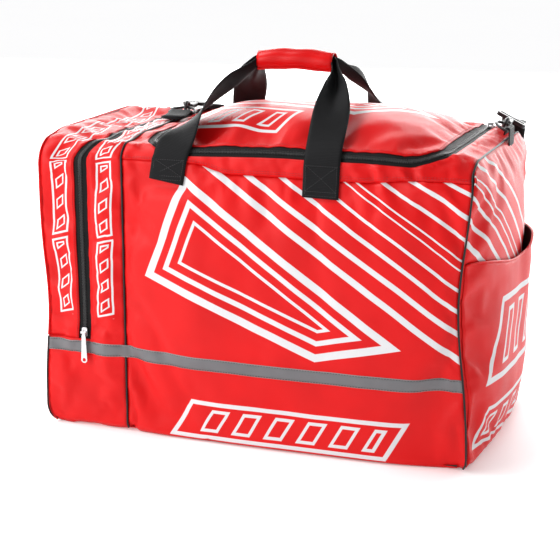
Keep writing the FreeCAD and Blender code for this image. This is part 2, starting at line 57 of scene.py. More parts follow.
# ---- driving dimensions ----------------------------------------------------------------
X_LEFT, X_RIGHT, X_DIVIDER = -330.0, 330.0, -194.0
HALF_DEPTH, HEIGHT = 180.0, 450.0
W_TOP, W_REAR, W_END = 450.0, 810.0, 1260.0
W_BASE = 3.0
LID_X0, LID_X1 = -160.0, 288.0
LID_W0, LID_W1 = 452.0, 781.0
LID_CORNER = 60.0
LID_MID = ((LID_X0 + LID_X1) / 2, (LID_W0 + LID_W1) / 2)
LID_HALF = ((LID_X1 - LID_X0) / 2, (LID_W1 - LID_W0) / 2)
CROWN = 35.0
ZIP_HALF = 11.0
END_ZIP_X = -261.0
W_SILL, SILL_GAP = 140.0, 0.5
W_DOOR0, W_DOOR1 = W_SILL + SILL_GAP, W_END - W_SILL - SILL_GAP
W_REAR_SEAM = W_END - 414.0
TAPE_W0, TAPE_W1 = 118.0, 137.0
WEB_WIDTH = 54.0
LEG_FEET = {"front": (-118.0, 117.0), "rear": (-131.0, 113.0)}
FRONT_BELLY, GUSSET_BELLY = 8.0, 3.0
END_BULGE, DOOR_BULGE, DOOR_WAIST = 31.0, 13.0, 9.0
ROLL_LEFT, ROLL_RIGHT, ROLL_LONG = 30.0, 16.0, 14.0
FLOOR_GAP = 0.6


def smooth(t):
    t = np.clip(t, 0.0, 1.0)
    return t * t * (3 - 2 * t)


def window(t, low, high, fade):
    return smooth((t - low) / fade) * smooth((high - t) / fade)


def bell(t, centre, spread):
    return np.exp(-((t - centre) / spread) ** 2)


def hill(t):
    """1 in the middle, 0 at -1 and 1."""
    return np.clip(1 - t ** 2, 0, 1)


# ---- shape of the shell ----------------------------------------------------------------
def corner_radius(x):
    """The long top edges are tight beside the lid and rounder towards both ends."""
    return 25 + 30 * smooth((x - 190) / 140) + 16 * smooth((-200 - x) / 110)


def arch_height(w):
    return np.where(w < W_TOP, w, np.where(w < W_REAR, HEIGHT, W_END - w))


def profile(x, w):
    """Point and outward normal on the plain arch."""
    r = corner_radius(x)
    y = np.where(w < W_TOP, -HALF_DEPTH, np.where(w < W_REAR, w - W_TOP - HALF_DEPTH, HALF_DEPTH))
    z = arch_height(w)
    ny = np.where(w < W_TOP, -1.0, np.where(w < W_REAR, 0.0, 1.0))
    nz = np.where((w >= W_TOP) & (w < W_REAR), 1.0, 0.0)
    for corner, side in ((W_TOP, -1.0), (W_REAR, 1.0)):
        near = np.abs(w - corner) < r
        turn = (w - corner + r) / (2 * r) * (math.pi / 2)
        if side > 0:
            turn = math.pi / 2 - turn
        y = np.where(near, side * (HALF_DEPTH - r + r * np.cos(turn)), y)
        z = np.where(near, HEIGHT - r + r * np.sin(turn), z)
        ny = np.where(near, side * np.cos(turn), ny)
        nz = np.where(near, np.sin(turn), nz)
    return np.stack([x, y, z], 1), np.stack([np.zeros_like(x), ny, nz], 1)


def dome(x, w):
    """How far the lid crowns above its zip."""
    u = (x - LID_MID[0]) / LID_HALF[0]
    v = (w - LID_MID[1]) / LID_HALF[1]
    within = (np.abs(u) < 1) & (np.abs(v) < 1)
    return np.where(within, CROWN * ((1 - v ** 2) * (1 - np.abs(u) ** 3.4)), 0.0)


def end_curve(z):
    """The right end's seam is drawn in at half height, stands out low down and meets the top flush."""
    return (7 - 18 * bell(z, 240, 125)) * smooth((HEIGHT - z) / 50)


def door_waist(z):
    return bell(z, 195, 85)


def foot_roll(z, radius):
    """How far a wall curls under where it meets the base."""
    t = np.clip(1 - z / radius, 0, 1)
    return radius * (1 - np.sqrt(1 - t ** 2 * 0.9))


def form(x, w, normal):
    """Large-scale departures from the plain arch."""
    z = arch_height(w)
    wall = (w < W_TOP) | (w > W_REAR)
    swell = np.sin(math.pi * np.clip(z / 412, 0, 1))
    move = np.zeros((len(x), 3))
    move[:, 0] += end_curve(z) * smooth((x - 210) / 120) * wall
    waist = door_waist(z) * smooth((-240 - x) / 90) * wall
    move[:, 0] += DOOR_WAIST * waist + foot_roll(z, ROLL_LEFT) * smooth((-285 - x) / 45)
    move[:, 0] -= foot_roll(z, ROLL_RIGHT) * smooth((x - 300) / 30)
    belly = FRONT_BELLY * swell ** 0.8 * window(x, X_DIVIDER, X_RIGHT, 130)
    narrow = GUSSET_BELLY * swell * window(x, -252, X_DIVIDER, 26)
    lift = np.where(wall, belly + narrow - foot_roll(z, ROLL_LONG), 0.0) + dome(x, w)
    # The top sags over the end compartment and at the right end, and the front edge drops leftwards.
    top = window(w, W_TOP + 12, W_REAR - 12, 60)
    lift -= 7 * top * window(x, X_LEFT, X_DIVIDER, 60)
    lift -= 6 * window(w, W_TOP - 40, W_REAR + 40, 60) * smooth((x - 302) / 28)
    move[:, 2] -= 6 * window(w, W_TOP - 60, W_TOP + 90, 60) * smooth((60 - x) / 180)
    return move + normal * lift[:, None]


def end_base(y, z):
    """Right end before its wrinkles: it bulges between its seams and rounds over at the top."""
    x = X_RIGHT + end_curve(z) + END_BULGE * hill(y / HALF_DEPTH) ** 0.7 * hill((z - 215) / 235)
    return np.stack([x - foot_roll(z, ROLL_RIGHT), y, z], 1)


def end_zip_x(w):
    """The end zip wanders a little as it passes over the top."""
    return END_ZIP_X + 24 * window(w, W_TOP - 30, W_REAR + 10, 70) - 2 * smooth((170 - w) / 30)


def lid_distance(x, w):
    """Distance outside the lid's outline in the flat pattern, negative inside."""
    qx = np.abs(x - LID_MID[0]) - (LID_HALF[0] - LID_CORNER)
    qw = (LID_W0 + LID_CORNER) - w
    corner = np.hypot(np.maximum(qx, 0), np.maximum(qw, 0)) + np.minimum(np.maximum(qx, qw), 0)
    return np.maximum(corner - LID_CORNER, w - LID_W1)


def front_seam(x):
    """Height of the seam under the plain band that carries the lid zip."""
    return 411 + 17 * smooth((-20 - x) / 70) + 15 * smooth((x - 170) / 150)


# ---- relief: simulated wrinkles and sewing puckers, kept as lookup grids ------------------
RELIEF_LIMIT = 11.0
LEG_FEET_X = LEG_FEET["front"] + LEG_FEET["rear"]


class Lookup:
    """A grid of displacement vectors that is read with smooth interpolation."""

    def __init__(self, low, high, values):
        self.low, self.high, self.values = np.array(low), np.array(high), values

    def __call__(self, a, b):
        rows, columns = self.values.shape[:2]
        s = np.clip((a - self.low[0]) / (self.high[0] - self.low[0]), 0, 1) * (rows - 1)
        t = np.clip((b - self.low[1]) / (self.high[1] - self.low[1]), 0, 1) * (columns - 1)
        i = np.minimum(s.astype(int), rows - 2)
        j = np.minimum(t.astype(int), columns - 2)
        s = smooth(s - i)[:, None] * 0.5 + (s - i)[:, None] * 0.5
        t = (t - j)[:, None]
        v = self.values
        near = v[i, j] * (1 - s) + v[i + 1, j] * s
        far = v[i, j + 1] * (1 - s) + v[i + 1, j + 1] * s
        return near * (1 - t) + far * t


def ripple(points, size, seed):
    """Smooth noise from -1 to 1 at 3-D points."""
    shift = Vector((seed * 17.3, seed * 5.1, seed * 9.7))
    return np.array([noise.noise(Vector(p) / size + shift) for p in points])


def seam_fade(x, w):
    """0 on a seam or beside a zip, 1 well inside a panel."""
    gaps = [np.abs(x - line) for line in (X_LEFT, X_DIVIDER, X_RIGHT)]
    gaps += [np.abs(w - line) for line in (W_BASE, W_END - W_BASE, W_REAR_SEAM)]
    gaps.append(np.abs(w - front_seam(x)) + np.where(x < X_DIVIDER, 99, 0))
    gaps.append(np.maximum(np.abs(x - end_zip_x(w)) - 8, 0))
    gaps.append(np.maximum(np.abs(lid_distance(x, w)) - 8, 0))
    return smooth(np.minimum.reduce(gaps) / 34)


def under_webbing(x, w):
    """1 where a handle's sewn end holds the fabric flat."""
    height = np.minimum(w, W_END - w)
    patches = [window(x, foot - 42, foot + 42, 14) * window(height, 372, 470, 14) for foot in LEG_FEET_X]
    return np.maximum.reduce(patches)


def band_gathers(x, w):
    """Short folds in the plain band, where its seam is drawn tighter than its zip."""
    slant = x + 0.5 * (w - 425)
    folds = np.sin(slant / 5.2) * 0.9 + np.sin(slant / 3.4 + 1.2 + 0.02 * x) * 0.7
    strength = 0.5 + 2.8 * window(x, 140, 300, 40) + 0.8 * window(x, -190, -40, 40)
    return window(w, 405, 446, 16) * folds * strength


def simulate(rest, faces, pinned, frames=22):
    """Cloth that is cut a little too large for its seams, so that it wrinkles between them."""
    scene = bpy.context.scene
    mesh = bpy.data.meshes.new("relief_cloth")
    mesh.from_pydata((rest * MM).tolist(), [], faces)
    cloth_object = bpy.data.objects.new("relief_cloth", mesh)
    scene.collection.objects.link(cloth_object)
    group = cloth_object.vertex_groups.new(name="pin")
    group.add([int(i) for i in np.nonzero(pinned)[0]], 1.0, "REPLACE")
    modifier = cloth_object.modifiers.new("cloth", "CLOTH")
    settings = modifier.settings
    settings.quality = 6
    settings.mass = 0.25
    settings.tension_stiffness = settings.compression_stiffness = 12
    settings.shear_stiffness = 6
    settings.bending_stiffness = 0.35
    settings.tension_damping = settings.compression_damping = 12
    settings.air_damping = 3
    settings.shrink_min = settings.shrink_max = -0.035
    settings.use_pressure = True
    settings.uniform_pressure_force = 0.5
    settings.vertex_group_mass = "pin"
    settings.effector_weights.gravity = 0.0
    modifier.collision_settings.use_collision = False
    modifier.point_cache.frame_start, modifier.point_cache.frame_end = 1, frames
    for step in range(1, frames + 1):
        scene.frame_set(step)
    shaped = cloth_object.evaluated_get(bpy.context.evaluated_depsgraph_get())
    moved = np.array([v.co for v in shaped.data.vertices]) / MM
    bpy.data.objects.remove(cloth_object)
    bpy.data.meshes.remove(mesh)
    scene.frame_set(1)
    return moved - rest


def grid_faces(rows, columns, start=0):
    corners = ((0, 0), (1, 0), (1, 1), (0, 1))
    return [tuple(start + (i + di) * columns + j + dj for di, dj in corners)
            for i in range(rows - 1) for j in range(columns - 1)]


def grid_points(a, b):
    return [g.ravel() for g in np.meshgrid(a, b, indexing="ij")]


def make_relief():
    """Displacement over the arch and over the right end, worked out together."""
    xs, ws = np.linspace(X_LEFT, X_RIGHT, 83), np.linspace(0, W_END, 158)
    ys, zs = np.linspace(-HALF_DEPTH, HALF_DEPTH, 46), np.linspace(0, HEIGHT, 57)
    (x, w), (y, z) = grid_points(xs, ws), grid_points(ys, zs)
    base, normal = profile(x, w)
    both = np.vstack([base + form(x, w, normal), end_base(y, z)])
    away = np.vstack([normal, np.tile([1.0, 0, 0], (len(y), 1))])
    fade = seam_fade(x, w)
    end_fade = smooth((HALF_DEPTH - np.abs(y)) / 30) * smooth(z / 30) * smooth((HEIGHT - 8 - z) / 30)
    free = np.concatenate([fade, end_fade])

    def arch_only(values):
        return np.concatenate([values, np.zeros(len(y))])[:, None]

    moved = np.zeros_like(both)
    start = both + away * (ripple(both, 55, 3)[:, None] * free[:, None]) * 1.5
    faces = grid_faces(len(xs), len(ws)) + grid_faces(len(ys), len(zs), len(x))
    moved = simulate(start, faces, free < 0.02) + (start - both)
    size = np.linalg.norm(moved, axis=1)
    moved *= (RELIEF_LIMIT * np.tanh(size / RELIEF_LIMIT) / np.maximum(size, 1e-6))[:, None]
    crumple = 1.6 * ripple(both, 85, 1) + 1.3 * ripple(both, 36, 2)
    moved += away * (crumple * np.concatenate([0.15 + 0.85 * fade, end_fade]))[:, None]
    moved += away * arch_only(band_gathers(x, w))
    beside_end_zip = window(x, -285, -240, 14) * (w < W_TOP - 20)
    moved *= 1 - 0.9 * arch_only(beside_end_zip)
    moved *= 1 - 0.95 * arch_only(under_webbing(x, w))
    arch = Lookup((X_LEFT, 0), (X_RIGHT, W_END), moved[:len(x)].reshape(len(xs), len(ws), 3))
    end = Lookup((-HALF_DEPTH, 0), (HALF_DEPTH, HEIGHT), moved[len(x):].reshape(len(ys), len(zs), 3))
    return arch, end


ARCH_RELIEF, END_RELIEF = make_relief()


# ---- surfaces that pieces are laid on: two pattern coordinates and a lift give a point ------
def flat(*values):
    return [np.atleast_1d(np.asarray(v, float)).ravel() for v in np.broadcast_arrays(*values)]


def shell(x, w, off=0.0):
    """Points of the bag's arch in space, lifted off it by off."""
    x, w, off = flat(x, w, off)
    base, normal = profile(x, w)
    place = base + form(x, w, normal) + ARCH_RELIEF(x, w) + normal * off[:, None]
    place[:, 2] = np.maximum(place[:, 2], FLOOR_GAP)
    return place


def right_end(y, z, off=0.0):
    y, z, off = flat(y, z, off)
    return end_base(y, z) + END_RELIEF(y, z) + np.stack([off, 0 * off, 0 * off], 1)


def pocket_mouth(y):
    return 304 - 24 * smooth((y + 170) / 175) + 17 * smooth((y - 5) / 110)


def pocket_wall(y, z, off=0.0):
    """The patch pocket hangs open along its mouth and is sewn in at its sides and foot."""
    y, z, off = flat(y, z, off)
    sag = smooth(z / pocket_mouth(y)) ** 1.3 * np.clip(1 - (np.abs(y) / 172) ** 3, 0, 1)
    away = 2.4 + sag * (2.5 + 11 * window(y, 0, 172, 70))
    return right_end(y, z, off + away)


def left_end(y, z, off=0.0):
    """Outward is -X here."""
    y, z, off = flat(y, z, off)
    bulge = DOOR_BULGE * hill(y / HALF_DEPTH) ** 0.6 * hill((z - 225) / 225)
    crumple = END_RELIEF(-y, z)[:, 0] * 0.6
    x = X_LEFT + DOOR_WAIST * door_waist(z) - bulge - crumple - off + foot_roll(z, ROLL_LEFT)
    return np.stack([x, y, z], 1)


# ---- mesh building ---------------------------------------------------------------------
def declare(made, body=None, nodes=()):
    """Parents a piece to its body's empty and hides the CAD nodes that it stands for."""
    if body:
        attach(made, body)
    if nodes:
        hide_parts(*nodes)
    return made


def add_mesh(name, points, faces, uv=None, materials=()):
    mesh = bpy.data.meshes.new(name)
    mesh.from_pydata((np.asarray(points) * MM).tolist(), [], [list(map(int, f)) for f in faces])
    if uv is not None:
        layer = mesh.uv_layers.new(name="pattern")
        corner = np.empty(len(mesh.loops), int)
        mesh.loops.foreach_get("vertex_index", corner)
        layer.data.foreach_set("uv", (np.asarray(uv)[corner] * MM).astype(np.float32).ravel())
    mesh.shade_smooth()
    for material in materials:
        mesh.materials.append(material)
    made = bpy.data.objects.new(name, mesh)
    bpy.context.scene.collection.objects.link(made)
    return made


def thicken(made, thickness, offset=0):
    solid = made.modifiers.new("thickness", "SOLIDIFY")
    solid.thickness = thickness * MM
    solid.offset = offset
    return solid


def run_lengths(points):
    """Distance run at each point of a chain."""
    return np.concatenate([[0], np.cumsum(np.linalg.norm(np.diff(points, axis=0), axis=1))])


def sides_of(loop):
    return zip(loop, np.roll(loop, -1, 0))


def resample(loop, step):
    """Points along a closed outline, keeping its corners."""
    found = []
    for a, b in sides_of(np.asarray(loop, float)):
        count = max(1, int(round(np.linalg.norm(b - a) / step)))
        found += [a + (b - a) * i / count for i in range(count)]
    return np.array(found)


def inside(points, loop):
    """Even-odd test."""
    px, py = points[:, 0], points[:, 1]
    answer = np.zeros(len(points), bool)
    for (ax, ay), (bx, by) in sides_of(loop):
        crosses = (ay > py) != (by > py)
        slope = (bx - ax) / np.where(by == ay, 1e-9, by - ay)
        answer ^= crosses & (px < ax + slope * (py - ay))
    return answer


def nearest(points, loop):
    """Distance from each point to a dense outline."""
    best = np.full(len(points), 1e9)
    for a, b in sides_of(loop):
        along = b - a
        t = np.clip((points - a) @ along / max(along @ along, 1e-9), 0, 1)
        best = np.minimum(best, np.linalg.norm(points - a - t[:, None] * along, axis=1))
    return best


def fill(outline, step):
    """Even mesh over a flat outline: points, faces and each point's distance from the edge."""
    loop = resample(outline, step)
    low, high = loop.min(0), loop.max(0)
    counts = np.maximum(np.round((high - low) / step).astype(int), 1)
    axes = [np.linspace(low[k], high[k], counts[k] + 1) for k in range(2)]
    grid = np.stack(grid_points(*axes), 1)
    grid = grid[inside(grid, loop)]
    grid = grid[nearest(grid, loop) > 0.55 * step]
    points = np.vstack([loop, grid])
    edges = [(i, (i + 1) % len(loop)) for i in range(len(loop))]
    result = delaunay_2d_cdt([Vector(p) for p in points], edges, [], 0, 1e-5)
    points = np.array([tuple(v) for v in result[0]])
    faces = np.array([f for f in result[2] if len(f) == 3])
    faces = faces[inside(points[faces].mean(1), loop)]
    return points, faces, nearest(points, loop)


def quads(made):
    """Joins triangle pairs into quads."""
    shape = bmesh.new()
    shape.from_mesh(made.data)
    bmesh.ops.join_triangles(shape, faces=shape.faces[:], angle_face_threshold=0.6,
                             angle_shape_threshold=0.9)
    shape.to_mesh(made.data)
    shape.free()
    made.data.shade_smooth()


def cloth(name, outline, mapping, body, material, nodes=(), step=6.0,
          hem=None, tuck=1.3, thickness=1.8, uv=None, flip=False, rim=0):
    """A sewn and lined fabric panel.

    hem gives extra height near a zip and tuck sinks the other seams. rim is 1 where the cut
    edge shows inside the bag and takes the lining's colour.
    """
    points, faces, gap = fill(outline, step)
    rise = -tuck * np.exp(-(gap / 4.0) ** 2)
    if hem is not None:
        rise = rise + hem(points[:, 0], points[:, 1])
    if flip:
        faces = faces[:, ::-1]
    place = mapping(points[:, 0], points[:, 1], rise)
    made = add_mesh(name, place, faces, points if uv is None else uv(points), (material, LINING))
    quads(made)
    solid = thicken(made, thickness, -1)
    solid.material_offset = 1
    solid.material_offset_rim = rim
    solid.use_even_offset = False
    return declare(made, body, nodes)


def square_to(vectors, axis):
    """The part of each vector that is square to a unit axis, as a unit vector."""
    vectors = vectors - (vectors * axis).sum(1)[:, None] * axis
    return vectors / np.linalg.norm(vectors, axis=1)[:, None]


def tube_faces(count, ring):
    """Faces round a closed ring of points, repeated along count stations, with both ends closed."""
    walls = [(i * ring + j, i * ring + (j + 1) % ring, (i + 1) * ring + (j + 1) % ring, (i + 1) * ring + j)
             for i in range(count - 1) for j in range(ring)]
    ends = [tuple(range(ring))[::-1], tuple((count - 1) * ring + j for j in range(ring))]
    return walls, ends


def sweep(name, place, normal_hint, sections, body, material, nodes=()):
    """Skins closed cross-sections, (count, m, 2) in normal and side coordinates, along a chain."""
    place = np.asarray(place, float)
    tangent = np.gradient(place, axis=0)
    tangent /= np.linalg.norm(tangent, axis=1)[:, None]
    normal = square_to(np.broadcast_to(normal_hint, place.shape), tangent)
    side = np.cross(tangent, normal)
    sections = np.broadcast_to(sections, (len(place),) + np.shape(sections)[-2:])
    count, ring = sections.shape[:2]
    points = place[:, None] + normal[:, None] * sections[:, :, :1] + side[:, None] * sections[:, :, 1:]
    uv = np.stack([np.tile(run_lengths(sections[0]), count), np.repeat(run_lengths(place), ring)], 1)
    walls, ends = tube_faces(count, ring)
    made = add_mesh(name, points.reshape(-1, 3), walls + ends, uv, (material,))
    return declare(made, body, nodes)


def circle(radius, sides):
    angle = np.arange(sides) * 2 * math.pi / sides
    return np.stack([radius * np.cos(angle), radius * np.sin(angle)], 1)


def flat_section(width, thickness, across=10, fold=0.0, ridge=3.0):
    """Webbing: rounded selvedges; fold closes it like a book about its middle, in radians."""
    s = np.linspace(-width / 2, width / 2, across + 1)
    fine = np.linspace(-width / 2, width / 2, 241)
    angle = fold / 2 * np.tanh(fine / ridge)
    line = []
    for part in (np.cos(angle), np.sin(angle)):
        total = np.concatenate([[0], np.cumsum(part[:-1] * np.diff(fine))])
        line.append(np.interp(s, fine, total - np.interp(0, fine, total)))
    y, z = line
    a = np.interp(s, fine, angle)
    half = thickness / 2 * np.where(np.abs(s) > width / 2 - 1e-6, 0.45, 1.0)
    upper = np.stack([z + half * np.cos(a), y - half * np.sin(a)], 1)
    lower = np.stack([z - half * np.cos(a), y + half * np.sin(a)], 1)
    return np.vstack([upper, lower[::-1]])


def beads(name, place, along, up, size, body, material, nodes=(), sides=6):
    """Many small rounded bars, such as stitches or zip coils, one at each point."""
    along = along / np.linalg.norm(along, axis=1)[:, None]
    up = square_to(up, along)
    side = np.cross(along, up)
    length, width, height = size
    stations = ((-0.5, 0.45), (-0.36, 1.0), (0.36, 1.0), (0.5, 0.45))
    angle = np.arange(sides) * 2 * math.pi / sides
    shape = np.array([(t * length, k * width / 2 * math.cos(a), k * height / 2 * math.sin(a))
                      for t, k in stations for a in angle])
    points = (place[:, None] + along[:, None] * shape[None, :, :1]
              + side[:, None] * shape[None, :, 1:2] + up[:, None] * shape[None, :, 2:])
    walls, ends = tube_faces(len(stations), sides)
    faces = [tuple(i * len(shape) + v for v in f) for i in range(len(place)) for f in ends + walls]
    made = add_mesh(name, points.reshape(-1, 3), faces, None, (material,))
    return declare(made, body, nodes)


def along_path(pattern, pitch, start=0.0):
    """Evenly spaced points and directions on a polyline in the flat pattern."""
    pattern = np.asarray(pattern, float)
    run = run_lengths(pattern)
    stations = np.arange(start + pitch / 2, run[-1], pitch)
    spot, ahead, behind = [np.stack([np.interp(stations + d, run, pattern[:, k]) for k in range(2)], 1)
                           for d in (0.0, 0.5, -0.5)]
    return spot, ahead - behind


def stitch(name, lines, mapping, body, material, off=0.25, pitch=4.2, length=3.0):
    """Rows of stitches on a mapped surface."""
    spot, way = [np.vstack(part) for part in zip(*(along_path(line, pitch) for line in lines))]
    here = mapping(spot[:, 0], spot[:, 1], off)
    ahead = mapping(spot[:, 0] + way[:, 0], spot[:, 1] + way[:, 1], off)
    lift = mapping(spot[:, 0], spot[:, 1], off + 1.0)
    return beads(name, here, ahead - here, lift - here, (length, 0.75, 0.6), body, material, sides=5)


# ---- materials -------------------------------------------------------------------------
class Field:
    """A shader value that ordinary arithmetic can be done on."""

    def __init__(self, tree, value):
        self.tree, self.value = tree, value

    def math(self, operation, *others):
        node = self.tree.nodes.new("ShaderNodeMath")
        node.operation = operation
        for slot, item in enumerate((self,) + others):
            item = item.value if isinstance(item, Field) else item
            if isinstance(item, (int, float)):
                node.inputs[slot].default_value = item
            else:
                self.tree.links.new(item, node.inputs[slot])
        return Field(self.tree, node.outputs[0])

    __add__ = partialmethod(math, "ADD")
    __sub__ = partialmethod(math, "SUBTRACT")
    __mul__ = partialmethod(math, "MULTIPLY")
    __neg__ = partialmethod(math, "MULTIPLY", -1.0)
    abs = partialmethod(math, "ABSOLUTE")
    min = partialmethod(math, "MINIMUM")
    max = partialmethod(math, "MAXIMUM")
    sin = partialmethod(math, "SINE")

    def clamped(self):
        return self.min(1.0).max(0.0)


class Finish:
    """A material with a Principled shader and helpers for procedural detail."""

    def __init__(self, name, roughness=0.5, coordinates="UV"):
        self.material = bpy.data.materials.new(name)
        self.material.use_nodes = True
        self.tree = self.material.node_tree
        self.shader = self.tree.nodes["Principled BSDF"]
        self.shader.inputs["Roughness"].default_value = roughness
        source = self.tree.nodes.new("ShaderNodeTexCoord")
        self.object_position = source.outputs["Object"]
        split = self.tree.nodes.new("ShaderNodeSeparateXYZ")
        self.tree.links.new(source.outputs[coordinates], split.inputs[0])
        self.a = Field(self.tree, split.outputs[0]) * (1 / MM)
        self.b = Field(self.tree, split.outputs[1]) * (1 / MM)

    def noise(self, size_mm, detail=3.0):
        node = self.tree.nodes.new("ShaderNodeTexNoise")
        node.inputs["Scale"].default_value = 1 / (size_mm * MM)
        node.inputs["Detail"].default_value = detail
        self.tree.links.new(self.object_position, node.inputs["Vector"])
        return Field(self.tree, node.outputs["Fac"])

    def mix(self, factor, first, second):
        node = self.tree.nodes.new("ShaderNodeMix")
        node.data_type = "RGBA"
        self.tree.links.new(factor.value, node.inputs[0])
        for slot, item in ((6, first), (7, second)):
            if isinstance(item, tuple):
                node.inputs[slot].default_value = item + (1.0,)
            else:
                self.tree.links.new(item, node.inputs[slot])
        return node.outputs[2]

    def finish(self, colour, roughness=None, height=None, depth_mm=0.1, strength=1.0, **values):
        """Wires colour, roughness and bump to the shader, sets plain values and gives the material."""
        inputs = self.shader.inputs
        self.tree.links.new(colour, inputs["Base Color"])
        if roughness is not None:
            self.tree.links.new(roughness.value, inputs["Roughness"])
        if height is not None:
            node = self.tree.nodes.new("ShaderNodeBump")
            node.inputs["Distance"].default_value = depth_mm * MM
            node.inputs["Strength"].default_value = strength
            self.tree.links.new(height.value, node.inputs["Height"])
            self.tree.links.new(node.outputs[0], inputs["Normal"])
        for key, value in values.items():
            inputs[key.replace("_", " ")].default_value = value
        return self.material

    def ribs(self, axis, pitch):
        """Height of ribs across one axis of the flat pattern, 0 to 1."""
        return (axis * (math.pi / pitch)).sin().abs()

    def weave(self, pitch):
        """Height of a plain weave, 0 to 1, from the flat pattern."""
        return self.ribs(self.a, pitch) * self.ribs(self.b, pitch)


def union(distances):
    return reduce(Field.min, distances)


def edge_distance(f, start, end):
    """Signed distance to the endless line through two points of the flat pattern."""
    (ax, ay), (bx, by) = start, end
    length = math.hypot(bx - ax, by - ay)
    nx, ny = -(by - ay) / length, (bx - ax) / length
    return f.a * nx + f.b * ny - (nx * ax + ny * ay)


def half_planes(f, corners):
    """Signed distance to a convex outline whose corners run clockwise in the flat pattern."""
    return reduce(Field.max, [edge_distance(f, *ends) for ends in zip(corners, corners[1:] + corners[:1])])


def ring_of(distance, width):
    """Keeps the inside edge of an outline as a line of that width."""
    return distance.max(-distance - width)


def nested(shape, rings):
    """Outlines inside each other, each given by its inset and line width."""
    return union([ring_of(shape + inset, width) for inset, width in rings])


def line_through(f, start, end, width):
    """Endless straight line."""
    return edge_distance(f, start, end).abs() - width / 2


def slant_bars(along, across, pitch, share, lean, start=0.0):
    """Evenly repeated slanted bars: pitch along one axis, lean along it per unit of the other."""
    phase = along * (1 / pitch) - across * (lean / pitch) - start / pitch
    return ((phase.math("FRACT") - 0.5).abs() - share / 2) * pitch


RED = (0.780, 0.0040, 0.0048)
RED_DEEP = (0.60, 0.0024, 0.0030)
PRINT = (0.74, 0.75, 0.77)


def red_cloth(name, graphic=None, roughness=0.42):
    """Coated red polyester, with an optional print in the flat pattern."""
    f = Finish(name, roughness)
    cloud = f.noise(90, 2.0)
    fleck = f.noise(2.2, 2.0)
    shade = f.mix((cloud * 1.6 - 0.3).clamped(), RED_DEEP, RED)
    gloss = f.noise(14, 3.0) * 0.10 + (roughness - 0.05)
    height = f.weave(0.85) * 0.5 + fleck * 0.5
    if graphic is not None:
        cover = (-(graphic(f) * 1.6) + 0.5).clamped()
        worn = (f.noise(1.1, 2.0) * 4.0 - 0.75).clamped()
        cover = cover * (worn * 0.12 + 0.88)
        shade = f.mix(cover, shade, PRINT)
        height = height * (cover * -0.55 + 1.0) + cover * 0.5
        gloss = gloss + cover * 0.05
    return f.finish(shade, gloss, height, 0.16, 0.6, Specular_IOR_Level=0.22)


# Printed stripes of the front: where each meets the upper seam, where it meets the right
# seam, and its width.
STRIPES = (
    (-62, 164, 9.5),
    (-17, 203, 8.0),
    (35, 236, 6.3),
    (80, 266, 4.4),
    (128, 295, 2.2),
    (146, 309, 2.4),
    (187, 339, 5.0),
    (236, 370, 6.3),
    (294, 405, 7.0),
)
STRIPE_TOP = 425.0

# The end's stripes: height and width.
END_STRIPES = ((250, 9), (296, 8), (330, 6.5), (362, 5), (384, 3), (400, 3), (432, 6), (470, 6))


def front_graphic(f):
    """Fan of stripes, an outlined shard with inner lines, and an outlined slanted block."""
    fan = union([line_through(f, (x_top, STRIPE_TOP), (X_RIGHT, z_right), width)
                 for x_top, z_right, width in STRIPES])
    clear = half_planes(f, [(-90, 440), (340, 440), (340, 140), (315, 150)])
    shard = half_planes(f, [(-152, 252), (-94, 406), (240, 178), (112, 150)])
    block = half_planes(f, [(-118, 10), (-84, 70), (250, 70), (216, 10)])
    core = half_planes(f, [(-88, 22), (-66, 58), (220, 58), (200, 22)])
    bars = slant_bars(f.a, f.b, 50, 0.58, 0.58, 8).max(core)
    return union([fan.max(clear), nested(shard, ((0, 11.5), (23, 7.5), (42, 4.5))),
                  ring_of(block, 6.5), ring_of(bars, 5.0)])


def gusset_graphic(f):
    """A column of outlined plates, for a narrow strip about its own centre line."""
    pitch, first = 122.0, 178.0
    above = (-f.b + first).max(f.b - (W_END - first))
    plate = slant_bars(f.b, f.a, pitch, 0.95, 0.25, first).max(f.a.abs() - 13.5).max(above)
    bars = slant_bars(f.b, f.a, pitch / 4, 0.5, 0.7, first + 5).max(plate + 6.5)
    return ring_of(plate, 3.0).min(ring_of(bars, 2.4))


def lid_graphic(f):
    """Large outlined shard, and a smaller block with bars in it, across the lid."""
    block = half_planes(f, [(-132, 512), (-96, 586), (54, 560), (30, 500)])
    bars = slant_bars(f.a, f.b, 40, 0.5, 0.5, 6).max(block + 13.0)
    shard = half_planes(f, [(-110, 618), (-30, 720), (236, 640), (128, 560)])
    rings = nested(shard, ((0, 10.0), (22, 7.0), (40, 4.5)))
    return union([ring_of(block, 6.0), ring_of(bars, 4.5), rings])


def end_graphic(f):
    """Stripes that carry on from the front, falling towards the back."""
    fan = union([line_through(f, (-180, rise + 40), (180, rise - 250), width)
                 for rise, width in END_STRIPES])
    below_and_beside = (-f.b + 300.0).min(-(f.a + 165.0))
    return fan.max(below_and_beside)


def pocket_graphic(f):
    """An outlined slanted block low on the pocket, and a larger one above it."""
    shard = half_planes(f, [(-140, 120), (-70, 235), (140, 235), (60, 120)])
    bars = slant_bars(f.a, f.b, 58, 0.5, 0.5, 4).max(shard + 20.0)
    block = half_planes(f, [(-150, 24), (-120, 84), (150, 84), (120, 24)])
    chips = slant_bars(f.a, f.b, 52, 0.5, 0.5, 0).max(block + 14.0)
    return union([ring_of(shard, 9.0), ring_of(bars, 6.0), ring_of(block, 6.5), ring_of(chips, 5.0)])


def plain_finish(name, low, high, roughness, grain_mm=3.0, bump_mm=0.1, **values):
    f = Finish(name, roughness)
    grain = f.noise(grain_mm, 3.0)
    cloud = f.noise(40, 2.0)
    colour = f.mix((cloud * 1.5 - 0.25).clamped(), low, high)
    return f.finish(colour, grain * 0.16 + (roughness - 0.08), grain, bump_mm, 0.7, **values)


